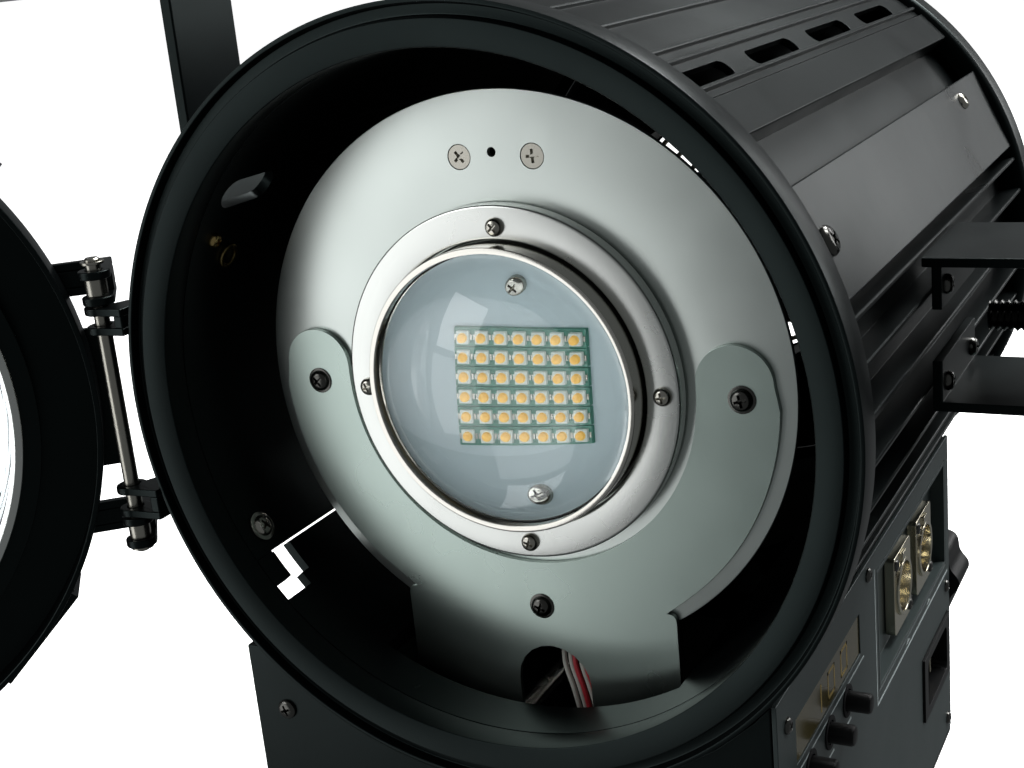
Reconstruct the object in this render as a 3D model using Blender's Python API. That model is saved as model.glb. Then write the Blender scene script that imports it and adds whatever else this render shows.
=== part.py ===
"""Studio Fresnel spotlight with an LED light engine on a focusing carriage.

Frame: +X is the lamp's right side seen from the front, +Y points to its back, +Z is up.
The origin is the centre of the underside of the base plate.  Most sizes are given from the
optical centre: x across, depth behind the front ring's face, height above the optical axis.
"""
import math

import bmesh
import bpy
from mathutils import Matrix, Vector

MM = 0.001
GAP = 0.3 * MM

# Driving dimensions.
AXIS_HEIGHT = 215 * MM
FRONT_Y = -120 * MM
RING_RADIUS = 120 * MM
RING_OPENING = 106.5 * MM
RING_DEPTH = 11 * MM
DRUM_END = 262 * MM
DRUM_INNER = 106.5 * MM
DRUM_BASE = 110 * MM
RIB_TIP = 118.3 * MM
TOP_BASE = 117.2 * MM
TOP_RIB_TIP = 118.6 * MM
REAR_END = 276 * MM
BOX_HALF_WIDTH = 92 * MM
BOX_FRONT = 3 * MM
BOX_BACK = 237 * MM
BOX_BOTTOM = -215 * MM
SHEET = 1.5 * MM
BASE_SHEET = 1.7 * MM
SADDLE_RADIUS = 120.7 * MM
LEFT_WALL_TOP = -86 * MM

DISC_RADIUS = 90.7 * MM
DISC_FRONT = 40 * MM
LED_BACK = 60.3 * MM
ROD_XS = {"slide_rod_left": -36 * MM, "slide_rod_right": 42 * MM}
ROD_HEIGHT = -147 * MM
ROD_RADIUS = 3.5 * MM
SCREW_X = 76 * MM
SCREW_HEIGHT = -147 * MM
SCREW_RADIUS = 4 * MM

TILT_DEPTH = 112 * MM
TILT_HEIGHT = 6 * MM
TILT_WIDTH = 52 * MM
TILT_WEB = 150 * MM
YOKE_INNER = 157 * MM
YOKE_THICK = 5 * MM
YOKE_WIDTH = 37 * MM
YOKE_REACH = 214.5 * MM
STUD_RADIUS = 5 * MM
SPIGOT_RADIUS = 14 * MM

HINGE_X = -130 * MM
HINGE_DEPTH = 2.5 * MM
PIN_RADIUS = 2.5 * MM
DOOR_OPEN_DEG = 140
DOOR_FACE = -15 * MM
DOOR_RADIUS = 124 * MM
LENS_RADIUS = 99.5 * MM

FAN_HALF = 59.5 * MM
FAN_FRONT = 244 * MM
FAN_BACK = 269 * MM

BIG_STEPS = 48
SMALL_STEPS = 24

FINISHES = {
    "black_paint": ((0.020, 0.023, 0.025), 0.42, 0.0),
    "panel_paint": ((0.20, 0.23, 0.23), 0.40, 0.3),
    "zinc": ((0.50, 0.54, 0.52), 0.38, 1.0),
    "steel": ((0.60, 0.61, 0.60), 0.28, 1.0),
    "aluminium": ((0.62, 0.63, 0.64), 0.35, 1.0),
    "brass": ((0.60, 0.47, 0.22), 0.35, 1.0),
    "black_plastic": ((0.015, 0.015, 0.016), 0.50, 0.0),
    "board": ((0.62, 0.68, 0.72), 0.45, 0.0),
    "display": ((0.10, 0.09, 0.05), 0.15, 0.0),
    "clear_glass": ((0.90, 0.95, 0.95), 0.03, 0.0),
    "wire": ((0.45, 0.05, 0.04), 0.50, 0.0),
}


# ---------------------------------------------------------------- building blocks

def clear_scene():
    for item in list(bpy.data.objects):
        bpy.data.objects.remove(item, do_unlink=True)


def place(x, depth, height):
    """A point given from the optical centre, in the part's frame."""
    return Vector((x, FRONT_Y + depth, AXIS_HEIGHT + height))


def finish_material(name, finish):
    colour, roughness, metallic = FINISHES[finish]
    material = bpy.data.materials.new(name)
    material.use_nodes = True
    shader = material.node_tree.nodes["Principled BSDF"]
    shader.inputs["Base Color"].default_value = (*colour, 1.0)
    shader.inputs["Roughness"].default_value = roughness
    shader.inputs["Metallic"].default_value = metallic
    return material


def add_object(name, shape, finish, origin=None):
    """Turn a bmesh in the part's frame into a named object with its origin where it moves."""
    origin = origin or place(0, 0, 0)
    bmesh.ops.translate(shape, vec=-origin, verts=shape.verts[:])
    bmesh.ops.recalc_face_normals(shape, faces=shape.faces[:])
    mesh = bpy.data.meshes.new(name)
    shape.to_mesh(mesh)
    shape.free()
    mesh.materials.append(finish_material(name, finish))
    mesh.shade_smooth()
    mesh.set_sharp_from_angle(angle=math.radians(35))
    item = bpy.data.objects.new(name, mesh)
    item.location = origin
    item["drawn_from"] = origin
    bpy.context.collection.objects.link(item)
    return item


def boolean(target, shape, operation, name):
    """Cut a closed shape from an object, or join it on, with an exact Boolean."""
    tool = add_object(name, shape, "black_paint", Vector(target["drawn_from"]))
    tool.location = target.location
    tool.rotation_euler = target.rotation_euler
    tool.hide_render = True
    tool.display_type = "WIRE"
    modifier = target.modifiers.new(name, "BOOLEAN")
    modifier.operation = operation
    modifier.object = tool
    modifier.solver = "EXACT"


def cut(target, shape, name):
    boolean(target, shape, "DIFFERENCE", name)


def join(target, shape, name):
    boolean(target, shape, "UNION", name)


def merge(shapes):
    """Put several shapes in one bmesh."""
    whole = bmesh.new()
    for shape in shapes:
        mesh = bpy.data.meshes.new("scratch")
        shape.to_mesh(mesh)
        shape.free()
        whole.from_mesh(mesh)
        bpy.data.meshes.remove(mesh)
    return whole


def to_frame(axis, u, v, w):
    """Map a flat drawing (u, v) raised by w along an axis to the part's frame."""
    if axis == "X":
        return place(w, u, v)
    if axis == "Y":
        return place(u, w, v)
    return place(u, v, w)


def lathe(profile, axis, centre, steps):
    """Turn (radius, along) points about an axis through centre, closed unless it has poles."""
    shape = bmesh.new()
    rings = []
    for radius, along in profile:
        turns = [0.0] if radius < 1e-9 else [2 * math.pi * i / steps for i in range(steps)]
        ring = []
        for turn in turns:
            across, up = radius * math.cos(turn), radius * math.sin(turn)
            local = {"X": (along, across, up), "Y": (across, along, up), "Z": (across, up, along)}[axis]
            ring.append(shape.verts.new(centre + Vector(local)))
        rings.append(ring)
    has_poles = any(len(ring) == 1 for ring in rings)
    pairs = list(zip(rings, rings[1:])) + ([] if has_poles else [(rings[-1], rings[0])])
    for first, second in pairs:
        for i in range(steps):
            corners = [first[i % len(first)], first[(i + 1) % len(first)],
                       second[(i + 1) % len(second)], second[i % len(second)]]
            corners = list(dict.fromkeys(corners))
            if len(corners) > 2:
                shape.faces.new(corners)
    bmesh.ops.recalc_face_normals(shape, faces=shape.faces[:])
    return shape


def rod(axis, centre, radius, low, high, steps=SMALL_STEPS):
    return lathe([(0, low), (radius, low), (radius, high), (0, high)], axis, centre, steps)


def tube(axis, centre, inner, outer, low, high, steps=SMALL_STEPS):
    return lathe([(inner, low), (outer, low), (outer, high), (inner, high)], axis, centre, steps)


def plate(axis, outline, low, high, holes=()):
    """A flat plate: an outline with holes in it, from low to high along the axis."""
    shape = bmesh.new()
    edges = []
    for loop in [outline, *holes]:
        verts = [shape.verts.new((u, v, low)) for u, v in loop]
        edges += [shape.edges.new((verts[i - 1], verts[i])) for i in range(len(verts))]
    bmesh.ops.triangle_fill(shape, use_beauty=True, use_dissolve=False, edges=edges)
    raised = bmesh.ops.extrude_face_region(shape, geom=shape.faces[:])["geom"]
    bmesh.ops.translate(shape, vec=(0, 0, high - low),
                        verts=[item for item in raised if isinstance(item, bmesh.types.BMVert)])
    for vert in shape.verts:
        vert.co = to_frame(axis, *vert.co)
    bmesh.ops.recalc_face_normals(shape, faces=shape.faces[:])
    return shape


def block(low, high):
    """A box between two (x, depth, height) corners."""
    outline = rectangle(low[0], low[1], high[0], high[1])
    return plate("Z", outline, low[2], high[2])


def circle(u, v, radius, steps=SMALL_STEPS):
    return arc(u, v, radius, 0, 360 - 360 / steps, steps - 1)


def arc(u, v, radius, start_deg, end_deg, steps):
    angles = [math.radians(start_deg + (end_deg - start_deg) * i / steps) for i in range(steps + 1)]
    return [(u + radius * math.cos(a), v + radius * math.sin(a)) for a in angles]


def rectangle(u0, v0, u1, v1):
    return [(u0, v0), (u1, v0), (u1, v1), (u0, v1)]


def slot(u, v, length, width):
    """A straight slot with round ends, its length along u."""
    half = (length - width) / 2
    return arc(u + half, v, width / 2, -90, 90, 6) + arc(u - half, v, width / 2, 90, 270, 6)


def upright_slot(u, v, width, length):
    return [(u + across, v + along) for along, across in slot(0, 0, length, width)]


def rounded(u0, v0, u1, v1, radius):
    """A rectangle with round corners."""
    corners = [(u1, v0, -90), (u1, v1, 0), (u0, v1, 90), (u0, v0, 180)]
    points = []
    for u, v, start in corners:
        centre_u = u - radius if u == u1 else u + radius
        centre_v = v - radius if v == v1 else v + radius
        points += arc(centre_u, centre_v, radius, start, start + 90, 3)
    return points


def polar(radius, angle_deg):
    return (radius * math.cos(math.radians(angle_deg)), radius * math.sin(math.radians(angle_deg)))


def wavy_circle(radius, wave, lobes, step_deg):
    """A circle whose radius swells and shrinks, as a hand grip's outline does."""
    return [polar(radius + wave * math.cos(math.radians(angle * lobes)), angle)
            for angle in range(0, 360, step_deg)]


# ---------------------------------------------------------------- drum

THIN_RIB = 1.5 * MM
FLAT_PANEL = (25.2, 33.6 * MM)
SHOULDER_RIB = (44.9, 13.4 * MM)
SIDE_RIBS = [(angle, THIN_RIB) for angle in (-26, -19, -12.5, -5.5, 1.5, 8.5, 14.6)]
SIDE_RIBS += [FLAT_PANEL, SHOULDER_RIB]
SIDE_CELLS = [(18.4, 32), (42.8, 47.2)]
TOP_RIB_ANGLES = (50, 55.7, 58.1, 66, 74, 82, 90, 98, 106, 114, 121.9, 124.3, 130)
TOP_RIBS = [(angle, THIN_RIB) for angle in TOP_RIB_ANGLES]
TOP_CELLS = [(50, 57), (58.2, 70), (71.2, 89.4), (90.6, 108.8), (110, 121.8), (123, 130)]
SIDE_START, SIDE_END, TOP_START = -33.2, 48.3, 48.6
LEFT_SEAM, LEFT_SIDE_END = 213.6, 213.2
SLOT_ANGLE = 52.2
SLOT_WIDTH = 6.4 * MM
SLOT_LENGTH = 43 * MM
SLOT_PITCH = 62 * MM
FIRST_SLOT = 28.5 * MM
SIDE_SLOT_ANGLE = 143.5


def ribbed_outline(start_deg, end_deg, ribs, base, tip):
    """Cross-section of one drum shell: flats between ribs outside, a smooth arc inside."""
    outer = [polar(base, start_deg)]
    for angle, width in sorted(ribs):
        half = math.degrees(width / 2 / tip)
        outer += [polar(base, angle - half), polar(tip, angle - half),
                  polar(tip, angle + half), polar(base, angle + half)]
    outer.append(polar(base, end_deg))
    inner = arc(0, 0, DRUM_INNER, end_deg, start_deg, max(6, int((end_deg - start_deg) / 6)))
    return outer + inner


def hollow_cell(start_deg, end_deg):
    """The hole of one hollow chamber of the extrusion, open at both ends of the drum."""
    steps = max(2, int((end_deg - start_deg) / 5))
    outside = arc(0, 0, TOP_BASE - 2.4 * MM, start_deg, end_deg, steps)
    inside = arc(0, 0, DRUM_INNER + 2 * MM, end_deg, start_deg, steps)
    return outside + inside


def drum_shell(name, start_deg, end_deg, ribs, cells=(), base=DRUM_BASE, tip=RIB_TIP):
    outline = ribbed_outline(start_deg, end_deg, ribs, base, tip)
    holes = [hollow_cell(low, high) for low, high in cells]
    shape = plate("Y", outline, RING_DEPTH + GAP, DRUM_END - GAP, holes)
    return add_object(name, shape, "black_paint")


def radial_slot(angle_deg, depth, length, width):
    """A cutter for a round-ended slot through the drum wall at one angle."""
    shape = plate("X", slot(depth, 0, length, width), 100 * MM, 125 * MM)
    turn = Matrix.Rotation(math.radians(angle_deg), 4, "Y").inverted()
    centre = Matrix.Translation(place(0, 0, 0))
    bmesh.ops.transform(shape, matrix=centre @ turn @ centre.inverted(), verts=shape.verts[:])
    return shape


def arc_block(start_deg, end_deg, low, high):
    """A cutter through the drum wall between two angles and two depths."""
    outline = arc(0, 0, 125 * MM, start_deg, end_deg, 2) + arc(0, 0, 100 * MM, end_deg, start_deg, 2)
    return plate("Y", outline, low, high)


def mirrored(ribs):
    return [(180 - angle, width) for angle, width in ribs]


def build_drum():
    top = drum_shell("drum_top", TOP_START, 180 - TOP_START, TOP_RIBS, TOP_CELLS, TOP_BASE, TOP_RIB_TIP)
    slots = [radial_slot(angle, FIRST_SLOT + SLOT_PITCH * i, SLOT_LENGTH, SLOT_WIDTH)
             for angle in (SLOT_ANGLE, 180 - SLOT_ANGLE) for i in range(4)]
    cut(top, merge(slots), "vent_slots")
    drum_shell("drum_right", SIDE_START, SIDE_END, SIDE_RIBS, SIDE_CELLS)
    left_cells = [(180 - high, 180 - low) for low, high in SIDE_CELLS]
    left = drum_shell("drum_left", 180 - SIDE_END, LEFT_SIDE_END, mirrored(SIDE_RIBS), left_cells)
    cut(left, radial_slot(SIDE_SLOT_ANGLE, 31 * MM, 26 * MM, 11 * MM), "side_vent")
    lower_ribs = [(angle, THIN_RIB) for angle in range(-140, -39, 10)]
    bottom = drum_shell("drum_bottom", LEFT_SEAM - 360, SIDE_START - 0.3, lower_ribs)
    passage = block((-53 * MM, 28 * MM, -125 * MM), (53 * MM, 150 * MM, -80 * MM))
    cut(bottom, passage, "carriage_passage")
    notch = arc_block(-150, -140.9, 22.8 * MM, 26.3 * MM)
    cut(bottom, notch, "front_notch_slot")
    cut(bottom, arc_block(-141.2, -137.8, 13 * MM, 24.8 * MM), "front_notch_window")


# ---------------------------------------------------------------- rings and rear

def build_front_ring():
    profile = [(RING_OPENING, 1.8 * MM), (114.4 * MM, 0.4 * MM), (115 * MM, 3.2 * MM),
               (118.1 * MM, 3.2 * MM), (118.6 * MM, 0), (119.4 * MM, 0), (RING_RADIUS, 0.6 * MM),
               (RING_RADIUS, RING_DEPTH), (RING_OPENING, RING_DEPTH)]
    add_object("front_ring", lathe(profile, "Y", place(0, 0, 0), BIG_STEPS), "black_paint")


def build_rear():
    profile = [(104 * MM, REAR_END - 6 * MM), (112 * MM, DRUM_END + 1.5 * MM), (112 * MM, DRUM_END),
               (119.5 * MM, DRUM_END), (120.7 * MM, DRUM_END + 1.5 * MM),
               (120.7 * MM, REAR_END - 1.5 * MM), (119.5 * MM, REAR_END), (104 * MM, REAR_END)]
    add_object("rear_ring", lathe(profile, "Y", place(0, 0, 0), BIG_STEPS), "black_paint")
    holes = [circle(0, 0, 56 * MM, 32)]
    for i in range(12):
        angle = 30 * i + 15
        start = [polar(74 * MM, angle + turn) for turn in (-9, -3, 3, 9)]
        holes.append(start + [polar(80 * MM, angle + turn) for turn in (9, 3, -3, -9)])
    outline = circle(0, 0, 103.6 * MM, 48)
    add_object("rear_cover", plate("Y", outline, 270.3 * MM, 272.3 * MM, holes), "black_paint")


def build_fan():
    centre_depth = (FAN_FRONT + FAN_BACK) / 2
    outline = rounded(-FAN_HALF, -FAN_HALF, FAN_HALF, FAN_HALF, 6 * MM)
    frame = add_object("fan_frame", plate("Y", outline, FAN_FRONT, FAN_BACK), "black_plastic")
    bore = [circle(0, 0, 56.5 * MM, 40)]
    cut(frame, plate("Y", bore[0], FAN_FRONT - 5 * MM, FAN_BACK + 5 * MM), "fan_bore")
    struts = [plate("Y", rectangle(-58 * MM, -2 * MM, 58 * MM, 2 * MM), 265 * MM, FAN_BACK - 0.2 * MM),
              plate("Y", rectangle(-2 * MM, -58 * MM, 2 * MM, 58 * MM), 264.8 * MM, FAN_BACK - 0.4 * MM),
              rod("Y", place(0, 0, 0), 19 * MM, 264.5 * MM, FAN_BACK - 0.6 * MM)]
    for i, strut in enumerate(struts):
        join(frame, strut, "fan_strut_%d" % i)
    hub = [(0, 247 * MM), (20 * MM, 247 * MM), (21 * MM, 248 * MM), (21 * MM, 263.5 * MM), (0, 263.5 * MM)]
    hub_shape = lathe(hub, "Y", place(0, 0, 0), SMALL_STEPS)
    rotor = add_object("fan_rotor", hub_shape, "black_plastic", place(0, centre_depth, 0))
    join(rotor, merge([fan_blade(360 / 7 * i) for i in range(7)]), "fan_blades")
    wires = [tube("Y", place(0, 0, 0), radius - 1.3 * MM, radius + 1.3 * MM, 273.2 * MM, 275.4 * MM, 32)
             for radius in (20 * MM, 37 * MM, 54 * MM)]
    grille = add_object("fan_grille", wires[-1], "steel")
    for i, wire in enumerate(wires[:-1]):
        join(grille, wire, "grille_ring_%d" % i)
    bars = [((-62 * MM, -1.1 * MM), (62 * MM, 1.1 * MM)), ((-1.1 * MM, -62 * MM), (1.1 * MM, 62 * MM))]
    for i, (low, high) in enumerate(bars):
        bar = plate("Y", rectangle(*low, *high), 272.9 * MM, (275 - 0.2 * i) * MM)
        join(grille, bar, "grille_bar_%d" % i)


def fan_blade(angle_deg):
    """One pitched blade, rooted inside the hub."""
    shape = plate("Y", rectangle(18 * MM, -1 * MM, 54 * MM, 1 * MM), 247.5 * MM, 263 * MM)
    centre = Matrix.Translation(place(36 * MM, 255.2 * MM, 0))
    pitch = centre @ Matrix.Rotation(math.radians(42), 4, "X") @ centre.inverted()
    axis = Matrix.Translation(place(0, 0, 0))
    spin = axis @ Matrix.Rotation(math.radians(angle_deg), 4, "Y") @ axis.inverted()
    bmesh.ops.transform(shape, matrix=spin @ pitch, verts=shape.verts[:])
    return shape


# ---------------------------------------------------------------- control box

DISPLAY = (20 * MM, -107.5 * MM, 93 * MM, -93 * MM)
POCKET = (117 * MM, -134 * MM, 230 * MM, -88 * MM)
POCKET_DEPTH = 5.5 * MM
BUTTON_DEPTHS = [75 * MM, 54 * MM, 33 * MM, 12 * MM]
BUTTON_HEIGHT = -115.5 * MM
BUTTON_RADIUS = 3.4 * MM
XLR_DEPTHS = (161 * MM, 197 * MM)
XLR_HEIGHT = -113 * MM
INLET = (184 * MM, -184 * MM, 232 * MM, -156 * MM)


def build_box():
    inner = BOX_HALF_WIDTH - SHEET
    plan = [(inner - GAP, BOX_FRONT), (-BOX_HALF_WIDTH, BOX_FRONT), (-BOX_HALF_WIDTH, BOX_BACK),
            (inner - GAP, BOX_BACK), (inner - GAP, BOX_BACK - SHEET), (-inner, BOX_BACK - SHEET),
            (-inner, BOX_FRONT + SHEET), (inner - GAP, BOX_FRONT + SHEET)]
    floor = BOX_BOTTOM + BASE_SHEET + GAP
    box = add_object("control_box", plate("Z", plan, floor, -60 * MM), "black_paint")
    saddle = rod("Y", place(0, 0, 0), SADDLE_RADIUS, -20 * MM, 260 * MM, BIG_STEPS)
    cut(box, saddle, "drum_saddle")
    step = block((-95 * MM, -5 * MM, LEFT_WALL_TOP), (-87 * MM, 46 * MM, -50 * MM))
    cut(box, step, "left_wall_step")
    knob_hole = rod("Y", place(SCREW_X, 0, SCREW_HEIGHT), SCREW_RADIUS + 1 * MM, 225 * MM, 250 * MM)
    cut(box, knob_hole, "screw_hole")
    outline = rounded(-BOX_HALF_WIDTH, BOX_FRONT, BOX_HALF_WIDTH, BOX_BACK, 1.5 * MM)
    add_object("base_plate", plate("Z", outline, BOX_BOTTOM, BOX_BOTTOM + BASE_SHEET), "black_paint")


def build_panel():
    floor = BOX_BOTTOM + BASE_SHEET + GAP
    inner = BOX_HALF_WIDTH - SHEET
    outline = rectangle(BOX_FRONT, floor, BOX_BACK, -79.5 * MM)
    holes = [rectangle(*DISPLAY), rectangle(*POCKET), rectangle(*INLET)]
    holes += [circle(depth, BUTTON_HEIGHT, BUTTON_RADIUS + 0.5 * MM, 12) for depth in BUTTON_DEPTHS]
    add_object("control_panel", plate("X", outline, inner, BOX_HALF_WIDTH, holes), "panel_paint")
    low_u, low_v, high_u, high_v = DISPLAY
    window = rounded(low_u + GAP, low_v + GAP, high_u - GAP, high_v - GAP, 0.8 * MM)
    add_object("display_window", plate("X", window, inner - 2 * MM, BOX_HALF_WIDTH - 0.4 * MM), "display")
    build_tray(inner)
    build_sockets()
    build_inlet(inner)
    for i, depth in enumerate(BUTTON_DEPTHS):
        centre = place(0, depth, BUTTON_HEIGHT)
        profile = [(0, inner - 1.5 * MM), (BUTTON_RADIUS, inner - 1.5 * MM), (BUTTON_RADIUS, 99.5 * MM),
                   (BUTTON_RADIUS - 0.8 * MM, 100.3 * MM), (0, 100.3 * MM)]
        cap = lathe(profile, "X", centre, 16)
        add_object("button_%d" % (i + 1), cap, "black_plastic", place(inner, depth, BUTTON_HEIGHT))


def build_tray(inner):
    """The recessed tray that holds the data sockets: a shallow box open to the outside."""
    low_u, low_v, high_u, high_v = POCKET
    rim = rectangle(low_u + GAP, low_v + GAP, high_u - GAP, high_v - GAP)
    floor_low = BOX_HALF_WIDTH - POCKET_DEPTH - SHEET
    tray = add_object("connector_tray", plate("X", rim, floor_low, BOX_HALF_WIDTH), "panel_paint")
    wall = SHEET + GAP
    hollow = rectangle(low_u + wall, low_v + wall, high_u - wall, high_v - wall)
    cut(tray, plate("X", hollow, floor_low + SHEET, BOX_HALF_WIDTH + 5 * MM), "tray_hollow")
    bores = [rod("X", place(0, depth, XLR_HEIGHT), 12 * MM, floor_low - 5 * MM, BOX_HALF_WIDTH)
             for depth in XLR_DEPTHS]
    cut(tray, merge(bores), "socket_holes")


def build_sockets():
    """The two data sockets, each a square flange with a round shell through the tray."""
    floor_top = BOX_HALF_WIDTH - POCKET_DEPTH
    flange_top = floor_top + 4 * MM
    for name, depth in zip(("data_input", "data_output"), XLR_DEPTHS):
        half_width, half_height = 13 * MM, 15.5 * MM
        flange = rounded(depth - half_width, XLR_HEIGHT - half_height,
                         depth + half_width, XLR_HEIGHT + half_height, 2 * MM)
        socket = add_object(name, plate("X", flange, floor_top + GAP, flange_top), "steel")
        centre = place(0, depth, XLR_HEIGHT)
        shell = rod("X", centre, 11.5 * MM, floor_top - 16 * MM, flange_top - 1 * MM)
        join(socket, shell, name + "_shell")
        cut(socket, rod("X", centre, 9 * MM, floor_top - 13 * MM, flange_top + 5 * MM), name + "_bore")


def build_inlet(inner):
    low_u, low_v, high_u, high_v = INLET
    outline = rectangle(low_u + GAP, low_v + GAP, high_u - GAP, high_v - GAP)
    body = plate("X", outline, inner - 24 * MM, BOX_HALF_WIDTH + 1 * MM)
    inlet = add_object("power_inlet", body, "black_plastic")
    well = rounded(low_u + 6 * MM, low_v + 4 * MM, high_u - 6 * MM, high_v - 4 * MM, 3 * MM)
    cut(inlet, plate("X", well, inner - 15 * MM, BOX_HALF_WIDTH + 5 * MM), "inlet_well")


def build_electronics():
    supply = block((-70 * MM, 14 * MM, -209 * MM), (46 * MM, 222 * MM, -168 * MM))
    add_object("power_supply", supply, "aluminium")
    board = block((-84 * MM, 30 * MM, -205 * MM), (-82 * MM, 220 * MM, -105 * MM))
    add_object("driver_board", board, "board")


# ---------------------------------------------------------------- focusing carriage

def build_rods():
    """The carriage's two rods, held between the front and back walls of the box."""
    low, high = BOX_FRONT + SHEET + GAP, BOX_BACK - SHEET - GAP
    for name, x in ROD_XS.items():
        add_object(name, rod("Y", place(x, 0, ROD_HEIGHT), ROD_RADIUS, low, high), "steel")


def face_plate_outline():
    """The stamped plate: a ring with two side lobes, running down into a neck and a nut arm."""
    lobe_x, lobe_height, lobe_radius = 72.5 * MM, 3 * MM, 12 * MM
    neck_left, neck_right = -47.5 * MM, 49.5 * MM
    outer = 86 * MM
    right = arc(lobe_x, lobe_height, lobe_radius, 180, 0, 8) + arc(0, 0, outer, -3, -50, 8)
    left = arc(0, 0, outer, -130, -177, 8) + arc(-lobe_x, lobe_height, lobe_radius, 180, 0, 8)
    arm = [(neck_right, -73 * MM), (neck_right, -136 * MM), (84 * MM, -136 * MM), (84 * MM, -158 * MM),
           (neck_left, -158 * MM), (neck_left, -74 * MM)]
    inner = arc(0, 0, 60.5 * MM, 180, 360, 20)
    return right + arm + left + inner


def build_carriage():
    holes = [circle(0, 0, 46 * MM, 48)]
    disc = plate("Y", circle(0, 0, DISC_RADIUS, BIG_STEPS), DISC_FRONT, DISC_FRONT + 2 * MM, holes)
    add_object("carriage_disc", disc, "steel")
    holes = [circle(x, ROD_HEIGHT, ROD_RADIUS + 0.6 * MM, 16) for x in ROD_XS.values()]
    holes.append(circle(SCREW_X, SCREW_HEIGHT, SCREW_RADIUS + 1 * MM, 16))
    holes.append(upright_slot(5 * MM, -112 * MM, 26 * MM, 44 * MM))
    stamped = plate("Y", face_plate_outline(), 38 * MM, DISC_FRONT - GAP, holes)
    add_object("face_plate", stamped, "zinc")
    clamp = [(46.2 * MM, 34.5 * MM), (47 * MM, 34 * MM), (56 * MM, 34 * MM), (57 * MM, 35 * MM),
             (57 * MM, DISC_FRONT - GAP), (46.2 * MM, DISC_FRONT - GAP)]
    add_object("lens_clamp", lathe(clamp, "Y", place(0, 0, 0), 40), "aluminium")
    barrel = [(43.5 * MM, 27 * MM), (45.6 * MM, 27 * MM), (45.6 * MM, 42.4 * MM), (56 * MM, 42.4 * MM),
              (56 * MM, 45 * MM), (45.6 * MM, 45 * MM), (45.6 * MM, 58 * MM), (43.8 * MM, 58 * MM),
              (41.5 * MM, 57 * MM), (41.5 * MM, 33.6 * MM), (43.5 * MM, 33.6 * MM)]
    add_object("lens_barrel", lathe(barrel, "Y", place(0, 0, 0), 40), "steel")
    add_object("condenser_lens", condenser_lens(), "clear_glass")
    board = [(0, 42.6 * MM), (41 * MM, 42.6 * MM), (41 * MM, 58.3 * MM), (52 * MM, 58.3 * MM),
             (52 * MM, LED_BACK), (0, LED_BACK)]
    add_object("led_board", lathe(board, "Y", place(0, 0, 0), 40), "board")
    add_object("heat_sink", heat_sink(), "aluminium")
    build_slide_block()
    nut_centre = place(SCREW_X, 0, SCREW_HEIGHT)
    add_object("lead_nut", tube("Y", nut_centre, SCREW_RADIUS + GAP, 9 * MM, DISC_FRONT, 54 * MM), "brass")
    add_object("wire_loom", wire_loom(), "wire")


def condenser_lens():
    """A plano-convex lens: a spherical cap, a short cylinder and a flat back."""
    radius, sphere, edge, back = 43.2 * MM, 60 * MM, 30.3 * MM, 33.3 * MM
    centre_depth = edge + math.sqrt(sphere ** 2 - radius ** 2)
    slopes = [math.asin(radius / sphere) * i / 7 for i in range(8)]
    cap = [(sphere * math.sin(slope), centre_depth - sphere * math.cos(slope)) for slope in slopes]
    return lathe(cap + [(radius, back), (0, back)], "Y", place(0, 0, 0), 40)


def heat_sink():
    """A finned extrusion behind the LED board, its fins upright."""
    half, base_back, fin_back = 52 * MM, 67 * MM, 118 * MM
    fins, fin = 9, 3 * MM
    pitch = (2 * half - fin) / (fins - 1)
    comb = [(-half, LED_BACK + GAP)]
    for i in range(fins):
        start = -half + pitch * i
        comb += [(start, base_back), (start, fin_back), (start + fin, fin_back), (start + fin, base_back)]
    comb.append((half, LED_BACK + GAP))
    return plate("Z", comb[:1] + comb[2:-2] + comb[-1:], -half, half)


def build_slide_block():
    """The block behind the plate's foot, which runs on the two slide rods."""
    outline = rounded(-46 * MM, -157 * MM, 64 * MM, -137 * MM, 2 * MM)
    holes = [circle(x, ROD_HEIGHT, ROD_RADIUS + 0.1 * MM) for x in ROD_XS.values()]
    add_object("slide_block", plate("Y", outline, DISC_FRONT, 62 * MM, holes), "aluminium")


def wire_loom():
    """The bundle of supply wires behind the arch: a short flat bundle ending in its plug."""
    return block((-4 * MM, 43 * MM, -126 * MM), (14 * MM, 49 * MM, -90 * MM))


def build_focus():
    centre = place(SCREW_X, 0, SCREW_HEIGHT)
    add_object("focus_screw", rod("Y", centre, SCREW_RADIUS, 20 * MM, 252 * MM, 16), "steel",
               place(SCREW_X, 240 * MM, SCREW_HEIGHT))
    outline = [(SCREW_X + u, SCREW_HEIGHT + v) for u, v in wavy_circle(18.6 * MM, 1.2 * MM, 8, 9)]
    grip = plate("Y", outline, BOX_BACK + 2 * MM, BOX_BACK + 24 * MM)
    knob = add_object("focus_knob", grip, "black_plastic", place(SCREW_X, 240 * MM, SCREW_HEIGHT))
    cut(knob, rod("Y", centre, SCREW_RADIUS + GAP, BOX_BACK - 5 * MM, 253 * MM, 16), "knob_bore")


# ---------------------------------------------------------------- tilt brackets and yoke

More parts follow.
